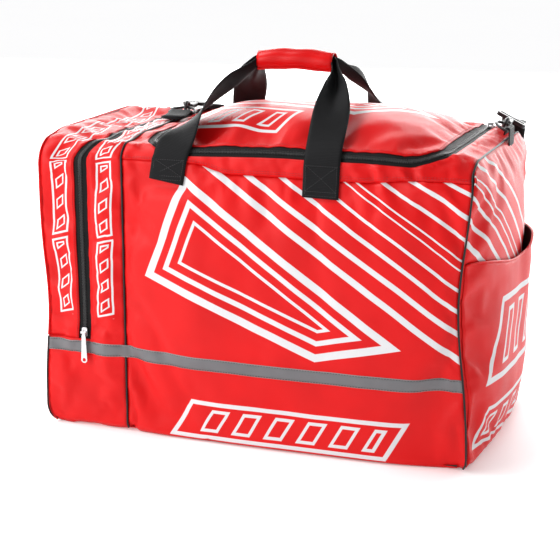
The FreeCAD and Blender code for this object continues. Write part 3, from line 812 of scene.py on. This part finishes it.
def webbing_finish(name, low, high):
    """Woven strap: ribs along its length crossed by a finer weft, with painted shade in the rib grooves.
    """
    f = Finish(name, 0.7)
    height = f.ribs(f.b, 2.2) * 0.7 + f.ribs(f.a, 1.5) * 0.3
    # Painted shade: the colour is darker in the rib grooves and lighter on the rib crests, plus random
    # tone from the noise.
    groove_shade_and_tone = (height * 0.7 + f.noise(30, 2.0) * 0.5 - 0.2).clamped()
    return f.finish(f.mix(groove_shade_and_tone, low, high), height * -0.15 + 0.7, height, 0.35, 0.9, Sheen_Weight=0.02,
                    Sheen_Roughness=0.4, Specular_IOR_Level=0.16)


def tape_finish():
    """Grey reflective tape with paler woven margins."""
    f = Finish("reflective_tape", 0.34)
    centre = (TAPE_W0 + TAPE_W1) / 2
    margin = (((f.b - centre).abs() - 7.6) * 1.5).clamped()
    glass_beads = f.noise(0.5, 2.0)
    smudge = f.noise(26, 3.0)
    base = f.mix((smudge * 1.4 - 0.2).clamped(), (0.118, 0.118, 0.126), (0.155, 0.155, 0.163))
    height = glass_beads * 0.4 + f.weave(0.9) * margin
    return f.finish(f.mix(margin, base, (0.27, 0.26, 0.26)), margin * 0.3 + 0.42, height, 0.1, 0.6,
                    Metallic=0.15, Specular_IOR_Level=0.7)


def metal_finish(name, colour, roughness):
    f = Finish(name, roughness)
    wear = f.noise(4, 4.0)
    worn = tuple(c * 0.78 for c in colour)
    return f.finish(f.mix((wear * 1.6 - 0.3).clamped(), worn, colour), wear * 0.22 + (roughness - 0.1),
                    f.noise(1.2, 3.0), 0.04, 0.5, Metallic=1.0)


RED_PLAIN = red_cloth("red_cloth_plain")
RED_FRONT = red_cloth("red_cloth_front_print", front_graphic)
RED_GUSSET = red_cloth("red_cloth_gusset_print", gusset_graphic)
RED_LID = red_cloth("red_cloth_lid_print", lid_graphic)
RED_END = red_cloth("red_cloth_end_print", end_graphic)
RED_POCKET = red_cloth("red_cloth_pocket_print", pocket_graphic)
LINING = plain_finish("grey_lining", (0.030, 0.030, 0.033), (0.05, 0.05, 0.055), 0.6)
PIPING = plain_finish("black_piping", (0.006, 0.006, 0.006), (0.014, 0.014, 0.015), 0.5,
                      Specular_IOR_Level=0.35)
ZIP_TAPE = webbing_finish("black_zip_tape", (0.0015, 0.0015, 0.0015), (0.006, 0.006, 0.0065))
ZIP_COIL = plain_finish("black_zip_coil", (0.006, 0.006, 0.006), (0.016, 0.016, 0.017), 0.34)
WEBBING = webbing_finish("black_webbing", (0.0012, 0.0012, 0.0014), (0.009, 0.009, 0.0105))
STRAP = webbing_finish("black_strap_webbing", (0.003, 0.003, 0.003), (0.015, 0.015, 0.017))
TAPE = tape_finish()
BLACK_PLASTIC = plain_finish("black_plastic", (0.012, 0.012, 0.013), (0.022, 0.022, 0.024), 0.34,
                             1.5, 0.05, Specular_IOR_Level=0.6)
BOARD = plain_finish("stiffener_board", (0.03, 0.03, 0.03), (0.06, 0.058, 0.055), 0.7, 1.5, 0.2)
SILVER = metal_finish("zinc_slider", (0.72, 0.72, 0.73), 0.3)
BLACK_THREAD = plain_finish("black_thread", (0.01, 0.01, 0.011), (0.03, 0.03, 0.032), 0.6, 0.8)
RED_THREAD = plain_finish("red_thread", (0.42, 0.004, 0.008), (0.6, 0.008, 0.012), 0.55, 0.8)
GRIP_RED = red_cloth("red_grip_cloth", None, 0.3)


# ---- shell panels ----------------------------------------------------------------------
HEM_RISE, HEM_SPREAD = 2.7, 5.5
CORNER_STEPS, SIDE_STEPS, FRONT_STEPS = 15, 30, 40


def lid_path(off, w_end=LID_W1):
    """The lid's zip line in the flat pattern, moved outwards by off, from rear left to rear right."""
    r = LID_CORNER + off
    w_corner = LID_W0 + LID_CORNER
    x_left, x_right = LID_X0 + LID_CORNER, LID_X1 - LID_CORNER
    turn = np.linspace(0, math.pi / 2, CORNER_STEPS + 1)
    left, right = [[(x + r * math.cos(a), w_corner + r * math.sin(a)) for a in start + turn]
                   for x, start in ((x_left, math.pi), (x_right, math.pi * 1.5))]
    found = [(LID_X0 - off, w) for w in np.linspace(w_end, w_corner, SIDE_STEPS, endpoint=False)] + left
    found += [(x, LID_W0 - off) for x in np.linspace(x_left, x_right, FRONT_STEPS, endpoint=False)[1:]]
    found += right + [(LID_X1 + off, w) for w in np.linspace(w_corner, w_end, SIDE_STEPS + 1)[1:]]
    return np.array(found)


def hem_rise(distance):
    """Fabric stands a little proud where it is folded beside a zip."""
    return HEM_RISE * bell(np.abs(distance), ZIP_HALF, HEM_SPREAD)


def zip_hem(x, w):
    return hem_rise(lid_distance(x, w)) * (w < LID_W1 - 4)


def end_hem(x, w):
    return hem_rise(x - end_zip_x(w)) * (w > W_SILL) * (w < W_END - W_SILL)


def back_pattern(p):
    """The back repeats the front's print, turned to read from behind."""
    return np.stack([X_DIVIDER + X_RIGHT - p[:, 0], W_END - p[:, 1]], 1)


def gusset_pattern(p):
    """The print follows the middle of the strip, and is moved out of sight beside the sills."""
    x, w = p[:, 0], p[:, 1]
    off_print = np.where(w < W_SILL + 4, 500, 0) + np.where(w > W_END - W_SILL - 4, 500, 0)
    return np.stack([x - (end_zip_x(w) * 0.5 + X_DIVIDER * 0.5 + 4 + off_print), w], 1)


def door_pattern(p):
    x, w = p[:, 0], p[:, 1]
    return np.stack([x - ((end_zip_x(w) + X_LEFT) / 2 - 3), w], 1)


def rectangle(a0, a1, b0, b1):
    return [(a0, b0), (a1, b0), (a1, b1), (a0, b1)]


seam_line = [(x, front_seam(x)) for x in np.linspace(X_RIGHT, X_DIVIDER, 40)]
front_outline = [(X_DIVIDER, W_BASE), (X_RIGHT, W_BASE)] + seam_line
cloth("front_panel_cloth", front_outline, shell, "bag", RED_FRONT, ["front_panel"], step=5.5)

back_outline = [(X_DIVIDER, W_END - W_BASE), (X_DIVIDER, W_REAR_SEAM),
                (X_RIGHT, W_REAR_SEAM), (X_RIGHT, W_END - W_BASE)]
cloth("back_panel_cloth", back_outline, shell, "bag", RED_FRONT, ["back_panel"], step=7, rim=1,
      uv=back_pattern)

# The band is one sheet round three sides of the lid, closed behind it by a second strip.
band_outline = ([(X_DIVIDER, LID_W1)] + seam_line[::-1] + [(X_RIGHT, LID_W1)]
                + [tuple(p) for p in lid_path(ZIP_HALF)[::-1]])
cloth("top_band_cloth", band_outline, shell, "bag", RED_PLAIN, ["top_frame"], hem=zip_hem, tuck=0.5)
rear_outline = rectangle(X_DIVIDER, X_RIGHT, LID_W1, W_REAR_SEAM)
cloth("rear_band_cloth", rear_outline, shell, "bag", RED_PLAIN, tuck=0.5, rim=1)

lid_outline = [tuple(p) for p in lid_path(-ZIP_HALF)]
cloth("lid_cloth", lid_outline, shell, "lid", RED_LID, ["lid_panel"], hem=zip_hem, tuck=0.4)

ws_zip = np.linspace(W_DOOR0, W_DOOR1, 90)
gusset_outline = ([(X_LEFT, W_BASE), (X_DIVIDER, W_BASE), (X_DIVIDER, W_END - W_BASE),
                   (X_LEFT, W_END - W_BASE), (X_LEFT, W_END - W_SILL + SILL_GAP)]
                  + [(end_zip_x(w) + ZIP_HALF, w) for w in ws_zip[::-1]]
                  + [(X_LEFT, W_SILL - SILL_GAP)])
cloth("end_gusset_cloth", gusset_outline, shell, "bag", RED_GUSSET, ["end_gusset", "end_sill"],
      hem=end_hem, tuck=0.8, uv=gusset_pattern)
door_gusset_outline = ([(X_LEFT, W_DOOR0), (X_LEFT, W_DOOR1)]
                       + [(end_zip_x(w) - ZIP_HALF, w) for w in ws_zip[::-1]])
cloth("door_gusset_cloth", door_gusset_outline, shell, "end_door", RED_GUSSET, ["door_gusset"],
      hem=end_hem, tuck=0.8, uv=door_pattern)


def arch_section(x, w0, w1):
    """The bag's cross-section as (y, z), from low on the front to low on the back."""
    return [(p[1], p[2]) for p in shell(x, np.linspace(w0, w1, 90))]


end_outline = arch_section(X_RIGHT, W_BASE, W_END - W_BASE)
cloth("right_end_cloth", end_outline, right_end, "bag", RED_END, ["right_end_panel"], tuck=0.6)

POCKET_SIDE, POCKET_FOOT = 176.0, 6
ys = np.linspace(POCKET_SIDE, -POCKET_SIDE, 40)
pocket_outline = ([(-POCKET_SIDE, POCKET_FOOT), (POCKET_SIDE, POCKET_FOOT)]
                  + [(y, pocket_mouth(y)) for y in ys])
cloth("end_pocket_cloth", pocket_outline, pocket_wall, "bag", RED_POCKET, ["end_pocket"],
      tuck=0.8, thickness=1.2)
mouth = pocket_wall(ys, pocket_mouth(ys) - 1.0, 0.2)
sweep("pocket_mouth_hem", mouth, (0.2, 0, 1), circle(1.7, 8), "bag", RED_PLAIN,
      ["pocket_binding"])

door_outline = arch_section(X_LEFT, W_DOOR0, W_DOOR1)
cloth("door_panel_cloth", door_outline, left_end, "end_door", RED_PLAIN, ["door_panel"], step=7, flip=True)
sill_outline = rectangle(-HALF_DEPTH, HALF_DEPTH, W_BASE, W_SILL - SILL_GAP)
cloth("end_sill_cloth", sill_outline, left_end, "bag", RED_PLAIN, step=7, flip=True, tuck=0.6)

BASE_X0, BASE_X1, BASE_Y = X_LEFT + 18, X_RIGHT - 8, HALF_DEPTH - 6


def base_face(x, y, off):
    """Underside: the fabric lies on the floor and lifts slightly towards its seams."""
    x, y, off = flat(x, y, off)
    gap = np.minimum(np.minimum(x - BASE_X0, BASE_X1 - x), BASE_Y - np.abs(y))
    lift = 3.0 * np.exp(-(gap / 9.0) ** 2) + 0.25 + 0.2 * np.sin(x / 21) * np.sin(y / 17)
    return np.stack([x, y, lift], 1)


cloth("base_cloth", rectangle(BASE_X0, BASE_X1, -BASE_Y, BASE_Y), base_face, "bag", RED_PLAIN,
      ["base_panel"], step=9, flip=True, tuck=0.0)


def divider_face(y, z, off):
    """The divider hangs in slack waves between its side seams."""
    y, z, off = flat(y, z, off)
    wave = 2.2 * np.sin(y / 47 + 0.6) * np.sin(z / 61) * smooth((HALF_DEPTH - np.abs(y)) / 40)
    return np.stack([X_DIVIDER + 0.5 + wave, y, z], 1)


divider_outline = [(-175, 7), (175, 7), (175, 436), (163, 444), (-163, 444), (-175, 436)]
cloth("divider_cloth", divider_outline, divider_face, "bag", LINING, ["divider_wall"], step=12,
      tuck=0.0, thickness=1.4)


# ---- folds of fabric across the hinge lines ----------------------------------------------
def fold_strip(name, along, low, high, mapping, count):
    """A narrow strip behind a seam, between two levels of the flat pattern."""
    t = np.linspace(0, 1, count)
    a, b = np.repeat(along, count), np.tile(low * (1 - t) + high * t, len(along))
    made = add_mesh(name, mapping(a, b, -2.4), grid_faces(len(along), count), np.stack([a, b], 1),
                    (RED_PLAIN,))
    thicken(made, 1.0)
    return declare(made)


lid_fold = fold_strip("lid_hinge_fold", np.linspace(LID_X0 - 6, LID_X1 - 3, 40), LID_W1 - 9, LID_W1 + 9,
                      shell, 9)
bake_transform(lid_fold)
door_fold = fold_strip("door_hinge_fold", np.linspace(-HALF_DEPTH + 2, HALF_DEPTH - 2, 40), W_SILL - 11,
                       W_SILL + 9, left_end, 9)
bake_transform(door_fold)
for word, w_mid in (("front", W_SILL), ("rear", W_END - W_SILL)):
    flange = fold_strip("sill_flange_" + word, np.linspace(X_LEFT + 1, END_ZIP_X - 3, 20), w_mid - 11,
                        w_mid + 11, shell, 5)
    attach(flange, "bag")


# ---- zips ------------------------------------------------------------------------------
TAPE_HEIGHTS = (-0.9, -0.1, 0.7, 1.0)
TAPE_HIDDEN, TAPE_SLIT = 4, 0.4
COIL_PITCH, COIL_LOW, COIL_HIGH = 2.4, 1.75, 2.75
COIL_REACH = 1.3


def zip_tape(name, inner, outer, body, node):
    """Tape between two matching polylines in the flat pattern."""
    place, uv = [], []
    run = run_lengths(inner)
    width = np.linalg.norm(outer - inner, axis=1).mean()
    for t, height in zip(np.linspace(0, 1, len(TAPE_HEIGHTS)), TAPE_HEIGHTS):
        line = inner * (1 - t) + outer * t
        place.append(shell(line[:, 0], line[:, 1], height))
        uv.append(np.stack([np.full(len(inner), t * width), run], 1))
    made = add_mesh(name, np.stack(place, 1).reshape(-1, 3), grid_faces(len(inner), len(TAPE_HEIGHTS)),
                    np.stack(uv, 1).reshape(-1, 2), (ZIP_TAPE,))
    thicken(made, 0.7)
    declare(made, body, [node])


def zip_coil(name, centre_line, side_hint, body, reach, shift=0.0, nodes=()):
    """Interlocking loops of a coil zip along a line in the flat pattern."""
    spot, way = along_path(centre_line, COIL_PITCH, shift)
    way /= np.linalg.norm(way, axis=1)[:, None]
    across = np.stack([-way[:, 1], way[:, 0]], 1) * side_hint
    middle = spot + across * reach
    tip = middle + across
    low, high = [shell(middle[:, 0], middle[:, 1], lift) for lift in (COIL_LOW, COIL_HIGH)]
    ahead = shell(tip[:, 0], tip[:, 1], COIL_LOW)
    beads(name, low, ahead - low, high - low, (4.3, 1.5, 1.1), body, ZIP_COIL, nodes)


for word, body, side in (("lid", "lid", -1), ("main", "bag", 1)):
    zip_tape(word + "_zip_tape_cloth", lid_path(side * (ZIP_HALF + TAPE_HIDDEN)),
             lid_path(side * TAPE_SLIT), body, word + "_zip_tape")
main_line = lid_path(0.0, LID_W1 - 6)
zip_coil("lid_zip_coil_half", main_line, -1, "lid", -COIL_REACH)
zip_coil("main_zip_coil_half", main_line, -1, "bag", COIL_REACH, COIL_PITCH / 2, ["main_zip_coil"])

zip_line = np.array([(end_zip_x(w), w) for w in np.linspace(W_SILL + 1, W_END - W_SILL - 1, 150)])
for word, body, side in (("door", "end_door", -1), ("end", "bag", 1)):
    step_x = np.array([1.0 * side, 0.0])
    zip_tape(word + "_zip_tape_cloth", zip_line + step_x * (ZIP_HALF + TAPE_HIDDEN),
             zip_line + step_x * TAPE_SLIT, body, word + "_zip_tape")
zip_coil("door_zip_coil_half", zip_line, 1, "end_door", COIL_REACH)
zip_coil("end_zip_coil_half", zip_line, 1, "bag", -COIL_REACH, COIL_PITCH / 2, ["end_zip_coil"])


# ---- piping and tape -------------------------------------------------------------------
def arch_piping(name, x, w0, w1, body, nodes=(), material=PIPING):
    ws = np.linspace(w0, w1, 170)
    place = shell(x, ws, 0.3)
    hint = shell(x, ws, 1.3) - place
    sweep(name, place, hint, circle(1.5, 10), body, material, nodes)


arch_piping("divider_piping_cord", X_DIVIDER, 4, W_END - 4, "bag", ["divider_piping"])
arch_piping("right_end_piping_cord", X_RIGHT, 4, W_END - 4, "bag", ["right_end_piping"])
arch_piping("door_piping_cord", X_LEFT, W_SILL + 1, W_END - W_SILL - 1, "end_door", ["door_piping"],
            RED_PLAIN)
arch_piping("sill_piping_front_cord", X_LEFT, 4, W_SILL - 1, "bag")
arch_piping("sill_piping_rear_cord", X_LEFT, W_END - W_SILL + 1, W_END - 4, "bag")


def tape_strip():
    """Reflective tape, sewn flat along both edges and lifted where it crosses the divider's piping."""
    xs, ws = np.linspace(X_LEFT + 1, X_RIGHT - 1, 130), np.linspace(TAPE_W0, TAPE_W1, 7)
    x, w = np.meshgrid(xs, ws, indexing="ij")
    lift = np.array([0.5, 1.15, 1.2, 1.2, 1.2, 1.15, 0.5]) + (1.98 * bell(xs, X_DIVIDER, 3.5))[:, None]
    made = add_mesh("reflective_tape_cloth", shell(x, w, lift), grid_faces(len(xs), len(ws)),
                    np.stack([x.ravel(), w.ravel()], 1), (TAPE,))
    thicken(made, 0.5, -1)
    declare(made, "bag", ["reflective_tape"])


tape_strip()


# ---- carry handles ---------------------------------------------------------------------
GRIP_X0, GRIP_X1, GRIP_Z = -42.0, 76.0, 555.0
GRIP_APART, GRIP_STEPS = 4.2, 10
GRIP_FOLD = 2.9
LEG_LEAN = {"front": (0.14, 0.02), "rear": (0.05, -0.08)}
LEG_TWIST = {"front": (-1.5, 0.2), "rear": (0.1, 1.4)}
PATCH_LOW = {"front": (394.0, 385.5), "rear": (391.0, 391.0)}
PATCH_MID, PATCH_STITCHED, PATCH_TOP = 415.0, 432.0, 437.0


def bezier(p0, p1, p2, p3, t):
    t = t[:, None]
    return (p0 * (1 - t) ** 3 + 3 * p1 * t * (1 - t) ** 2 + 3 * p2 * t ** 2 * (1 - t) + p3 * t ** 3)


def leg_line(side, x_foot, x_grip, low, lean, twist):
    """Centre line of one leg from its sewn end to the grip, with its normals and fold."""
    ws = np.linspace(low, PATCH_TOP, 12)
    pattern = ws if side < 0 else W_END - ws
    foot = x_foot + lean * (ws - PATCH_MID)
    sewn = shell(foot, pattern, 2.6)
    sewn_normal = shell(foot, pattern, 3.6) - sewn
    start = sewn[-1]
    grip = np.array([x_grip, side * GRIP_APART, GRIP_Z])
    inward = np.sign((GRIP_X0 + GRIP_X1) / 2 - x_grip)
    rise = np.array([46.0 * lean, -side * 10.0, 46.0])
    reach = grip - np.array([inward * 26.0, -side * 8.0, 24.0])
    t = np.linspace(0, 1, 34)[1:]
    leg = bezier(start, start + rise, reach + np.array([0, side * 26.0, 0]), grip, t)
    outside = np.array([0.0, side * 0.75, 0.66])
    grip_normal = np.array([0.0, 0.25 * side, 1.0])
    k = smooth(t * 1.05 - 0.05)[:, None]
    leaves_patch = smooth(t / 0.25)[:, None]
    near_foot = sewn_normal[-1] * (1 - leaves_patch) + outside * leaves_patch
    turn = np.array([twist, 0.0, 0.0]) * window(t, 0.12, 1.02, 0.42)[:, None]
    leg_normal = near_foot * (1 - k) + grip_normal * k + turn
    fold = np.concatenate([np.zeros(len(ws)), GRIP_FOLD * smooth((t - 0.32) / 0.62)])
    return np.vstack([sewn, leg]), np.vstack([sewn_normal, leg_normal]), fold


def anchor_rows(word, side):
    """A box with a cross in it on each sewn end, and a bar across its foot."""
    half = WEB_WIDTH / 2 - 4
    rows = []
    for x, start, lean in zip(LEG_FEET[word], PATCH_LOW[word], LEG_LEAN[word]):
        left, right = [[(x + lean * (w - PATCH_MID) + k * half, w)
                        for w in (start + 3.5, start + 9.5, PATCH_STITCHED)] for k in (-1, 1)]
        rows += [[left[0], right[0], right[2], left[2], left[0]],
                 [left[1], right[2]], [left[2], right[1]], [left[1], right[1]]]
    return [[(x, w if side < 0 else W_END - w) for x, w in row] for row in rows]


def make_handle(word, side):
    (left, left_n, left_fold), (right, right_n, right_fold) = [
        leg_line(side, *leg) for leg in zip(LEG_FEET[word], (GRIP_X0, GRIP_X1), PATCH_LOW[word],
                                            LEG_LEAN[word], LEG_TWIST[word])]
    xs = np.linspace(GRIP_X0, GRIP_X1, GRIP_STEPS + 2)[1:-1]
    arch = GRIP_Z + 3.5 * np.sin(np.linspace(0.3, 2.84, GRIP_STEPS))
    middle = np.stack([xs, np.full(GRIP_STEPS, side * GRIP_APART), arch], 1)
    middle_n = np.tile([0.0, 0.25 * side, 1.0], (GRIP_STEPS, 1))
    place = np.vstack([left, middle, right[::-1]])
    normal = np.vstack([left_n, middle_n, right_n[::-1]])
    fold = np.concatenate([left_fold, np.full(GRIP_STEPS, GRIP_FOLD), right_fold[::-1]])
    narrow = WEB_WIDTH - 6 * smooth(fold / 2.0) - 15 * smooth((fold - 1.9) / 1.0)
    sections = np.array([flat_section(width, 2.3, 14, angle, 3.2) for width, angle in zip(narrow, fold)])
    sections[:, :, 0] -= sections[:, :, 0].mean(1)[:, None]
    made = sweep(word + "_handle_strap", place, normal, sections, None, WEBBING,
                 [word + "_handle_webbing", word + "_anchor_left", word + "_anchor_right"])
    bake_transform(made)
    stitch(word + "_anchor_stitches", anchor_rows(word, side), shell, "bag", BLACK_THREAD, off=3.85,
           pitch=3.6, length=2.6)


make_handle("front", -1.0)
make_handle("rear", 1.0)

SLEEVE_RADIUS, FLAP_RISE, SLEEVE_ARCH = 14.2, 1.5, 4.0
SLEEVE_START, SLEEVE_SWEEP = math.radians(-70), math.radians(420)


def make_grip():
    """Padded sleeve: a sheet wrapped once and a sixth round both straps, its flap closed in front."""
    count, turns = 26, 34
    points, uv = [], []
    for x in np.linspace(GRIP_X0 - 1, GRIP_X1 + 1, count):
        t = (x - GRIP_X0) / (GRIP_X1 - GRIP_X0)
        middle = GRIP_Z + SLEEVE_ARCH * math.sin(math.pi * min(max(t, 0), 1))
        waist = 1.0 - 0.05 * bell(t, 0.0, 0.06) - 0.05 * bell(t, 1.0, 0.06)
        for s in np.linspace(0, 1, turns):
            angle = SLEEVE_START - SLEEVE_SWEEP * s
            radius = (SLEEVE_RADIUS + FLAP_RISE * smooth(s * 1.5 - 0.3)) * waist
            radius += 0.5 * math.sin(5 * t * math.pi + angle * 2) * float(s > 0.1)
            points.append((x, 1.05 * radius * math.cos(angle), middle + radius * math.sin(angle)))
            uv.append((x, 14 * SLEEVE_SWEEP * s))
    made = add_mesh("grip_wrap_sleeve", points, grid_faces(count, turns), uv, (GRIP_RED, LINING))
    thicken(made, 1.6)
    declare(made, "front_handle", ["grip_wrap"])


make_grip()

# ---- shoulder strap and tabs -----------------------------------------------------------
TAB_WIDTH, TAB_RADIUS = 36, 3.6
LEFT_BAR, RIGHT_BAR = (-193.0, 46.0, 459.6), (332.0, 63.0, 459.0)
STRAP_WIDTH, STRAP_BACK = 38, 187.0
STRAP_LEFT, STRAP_RIGHT = -193.0, 318.0
RING_TILT = math.radians(26)


def loop_line(bar, last, across):
    """Arc round a ring's bar, in the plane of one level axis and Z."""
    first = 0.0 if across[0] else -math.pi / 2
    level, up = np.array(across, float), np.array([0, 0, 1.0])
    return [np.array(bar) + TAB_RADIUS * (math.cos(a) * level + math.sin(a) * up)
            for a in np.linspace(first, last, 14)]


def make_tabs():
    """Webbing sewn to the shell, turned round each ring's bar and laid back on itself."""
    x, y = LEFT_BAR[:2]
    turn = loop_line(LEFT_BAR, math.pi * 0.62, (0, 1, 0))
    back = [(x, y_end, z) for y_end, z in ((39, 461.2), (31, 459.6), (22, 458.6), (6, 458.4))]
    tail = [(x, y_end, 456.0) for y_end in np.linspace(4, 42, 8)]
    left = np.array(tail + turn + back)
    x, y = RIGHT_BAR[:2]
    turn = loop_line(RIGHT_BAR, math.pi * 1.15, (1, 0, 0))
    tail = [(x + TAB_RADIUS, y, z) for z in np.linspace(418, 456, 8)]
    right = np.array(tail + turn + [(327.5, y, 452.0)])
    for word, place, axis in (("left", left, (1.0, 0, 0)), ("right", right, (0, -1.0, 0))):
        hint = np.cross(np.array(axis), np.gradient(place, axis=0))
        sweep("ring_tab_" + word + "_webbing", place, hint, flat_section(TAB_WIDTH, 2.2, 8), "bag", STRAP,
              ["ring_tab_" + word])


make_tabs()


def catmull(points, per_span=8):
    """Smooth chain through points."""
    points = [np.array(p, float) for p in points]
    padded = [2 * points[0] - points[1]] + points + [2 * points[-1] - points[-2]]
    found = []
    for a, b, c, d in zip(padded, padded[1:], padded[2:], padded[3:]):
        for i in range(per_span):
            t = i / per_span
            found.append(0.5 * ((2 * b) + (c - a) * t + (2 * a - 5 * b + 4 * c - d) * t * t
                                + (3 * b - a - 3 * c + d) * t ** 3))
    found.append(points[-1])
    return np.array(found)


def make_strap():
    """From the left hook over the back edge, in a loose loop behind the bag, to the right hook."""
    across_x = (1, 0, 0)
    left = [((STRAP_LEFT, 122, 464.5), across_x),
            ((STRAP_LEFT, 138, 461), across_x),
            ((STRAP_LEFT + 1, 162, 457.5), across_x),
            ((STRAP_LEFT + 2, 180, 452.5), across_x),
            ((STRAP_LEFT + 3, STRAP_BACK + 1, 438), across_x),
            ((STRAP_LEFT + 7, STRAP_BACK + 4, 410), (0.95, -0.3, 0)),
            ((STRAP_LEFT + 14, STRAP_BACK + 9, 372), (0.6, -0.8, 0))]
    middle_x, half_span, z_low, sag = 60.0, 226.0, 74.0, 150.0
    hanging = [((middle_x + x, STRAP_BACK + 18, z_low + sag * (math.cosh(x / sag) - 1)), (0, -1, 0))
               for x in np.linspace(-half_span, half_span, 13)]
    right = [((STRAP_RIGHT - 15, STRAP_BACK + 9, 372), (-0.6, -0.8, 0)),
             ((STRAP_RIGHT - 9, STRAP_BACK + 4, 410), (-0.95, -0.3, 0)),
             ((STRAP_RIGHT - 5, STRAP_BACK + 1, 440), (-1, 0, 0)),
             ((STRAP_RIGHT - 3, 181, 454), (-1, 0, 0)),
             ((STRAP_RIGHT - 1, 168, 460), (-0.95, 0, 0.3)),
             ((STRAP_RIGHT + 3, 150, 461.5), (-0.92, 0, 0.4)),
             ((STRAP_RIGHT + 4.1, 137, 463.4), (-math.cos(RING_TILT), 0, math.sin(RING_TILT)))]
    place, across = [catmull(part) for part in zip(*(left + hanging + right))]
    hint = np.cross(np.gradient(place, axis=0), across)
    sweep("shoulder_strap_webbing", place, hint, flat_section(STRAP_WIDTH, 2.0, 8), "bag", STRAP,
          ["shoulder_strap"])


make_strap()

# ---- seam stitching --------------------------------------------------------------------
STITCH_GAP = ZIP_HALF + 3.2


def seam_rows():
    xs = np.linspace(X_DIVIDER + 4, X_RIGHT - 4, 60)
    bag_rows = [[(x, front_seam(x) + d) for x in xs] for d in (4.0, 7.0)]
    bag_rows += [[(x, W_REAR_SEAM - d) for x in xs] for d in (4.0, 7.0)]
    door_row, gusset_row = [[(end_zip_x(w) + side * STITCH_GAP, w) for w in ws_zip] for side in (-1, 1)]
    bag_rows += [lid_path(STITCH_GAP), gusset_row]
    stitch("bag_seam_stitches", bag_rows, shell, "bag", RED_THREAD, off=0.4)
    tape_rows = [[(x, w) for x in np.linspace(X_LEFT + 3, X_RIGHT - 3, 60)]
                 for w in (TAPE_W0 + 1.5, TAPE_W1 - 1.5)]
    stitch("tape_stitches", tape_rows, shell, "bag", BLACK_THREAD, off=1.3)
    stitch("lid_seam_stitches", [lid_path(-STITCH_GAP)], shell, "lid", RED_THREAD, off=2.2)
    stitch("door_seam_stitches", [door_row], shell, "end_door", RED_THREAD, off=2.2)


seam_rows()

# ---- carried-over hardware -------------------------------------------------------------
HARDWARE = {
    BLACK_PLASTIC: ("d_ring_left", "d_ring_right", "strap_hook_left", "strap_hook_right",
                    "strap_eye_left", "strap_eye_right"),
    SILVER: ("end_zip_slider", "end_zip_pull", "main_zip_slider", "main_zip_pull"),
    BOARD: ("base_board",),
}
for material, names in HARDWARE.items():
    for name in names:
        node = NODES[name]
        node.data.materials.clear()
        node.data.materials.append(material)

# ---- floor, light and camera, in metres --------------------------------------------------
FLOOR_HALF = 40.0
CAMERA_PLACE, CAMERA_PITCH, CAMERA_TURN = (0.81, -2.29, 0.84), 75.5, 19.7
LENS_MM, SENSOR_MM = 102.9, 36.0
WORLD_STRENGTH = 0.46


def link(name, data):
    made = bpy.data.objects.new(name, data)
    bpy.context.scene.collection.objects.link(made)
    return made


def make_stage():
    mesh = bpy.data.meshes.new("floor")
    corners = [(i * FLOOR_HALF, j * FLOOR_HALF, 0) for i, j in ((-1, -1), (1, -1), (1, 1), (-1, 1))]
    mesh.from_pydata(corners, [], [(0, 1, 2, 3)])
    f = Finish("pale_floor", 0.6, "Object")
    colour = f.mix(f.noise(800, 2.0) * 0.5, (0.86, 0.86, 0.87), (0.9, 0.9, 0.9))
    mesh.materials.append(f.finish(colour, Emission_Color=(1.0, 1.0, 1.0, 1.0), Emission_Strength=0.22))
    link("floor", mesh)
    world = bpy.data.worlds.new("studio")
    world.use_nodes = True
    colour, strength = world.node_tree.nodes["Background"].inputs[:2]
    colour.default_value = (1.0, 1.0, 1.0, 1)
    strength.default_value = WORLD_STRENGTH
    bpy.context.scene.world = world


def area_light(name, place, target, size, power):
    light = bpy.data.lights.new(name, "AREA")
    light.shape = "RECTANGLE"
    light.size, light.size_y = size
    light.energy = power
    made = link(name, light)
    made.location = place
    made.rotation_euler = (Vector(target) - Vector(place)).to_track_quat("-Z", "Y").to_euler()


def sun_light(name, towards, strength, spread):
    light = bpy.data.lights.new(name, "SUN")
    light.energy = strength
    light.angle = math.radians(spread)
    link(name, light).rotation_euler = Vector(towards).to_track_quat("Z", "Y").to_euler()


def make_camera():
    data = bpy.data.cameras.new("camera")
    data.lens, data.sensor_width = LENS_MM, SENSOR_MM
    camera = link("camera", data)
    camera.location = CAMERA_PLACE
    camera.rotation_euler = (math.radians(CAMERA_PITCH), 0, math.radians(CAMERA_TURN))
    bpy.context.scene.camera = camera


make_stage()
sun_light("high_left", (-0.66, -0.06, 0.75), 1.9, 20)
area_light("key_left", (-1.3, -1.45, 0.9), (-0.2, 0, 0.25), (1.0, 1.0), 21)
area_light("rear_gloss", (-0.5, 4.0, 1.5), (0, 0, 0.45), (9.0, 3.0), 480)
make_camera()
bpy.context.scene.view_settings.view_transform = "Standard"
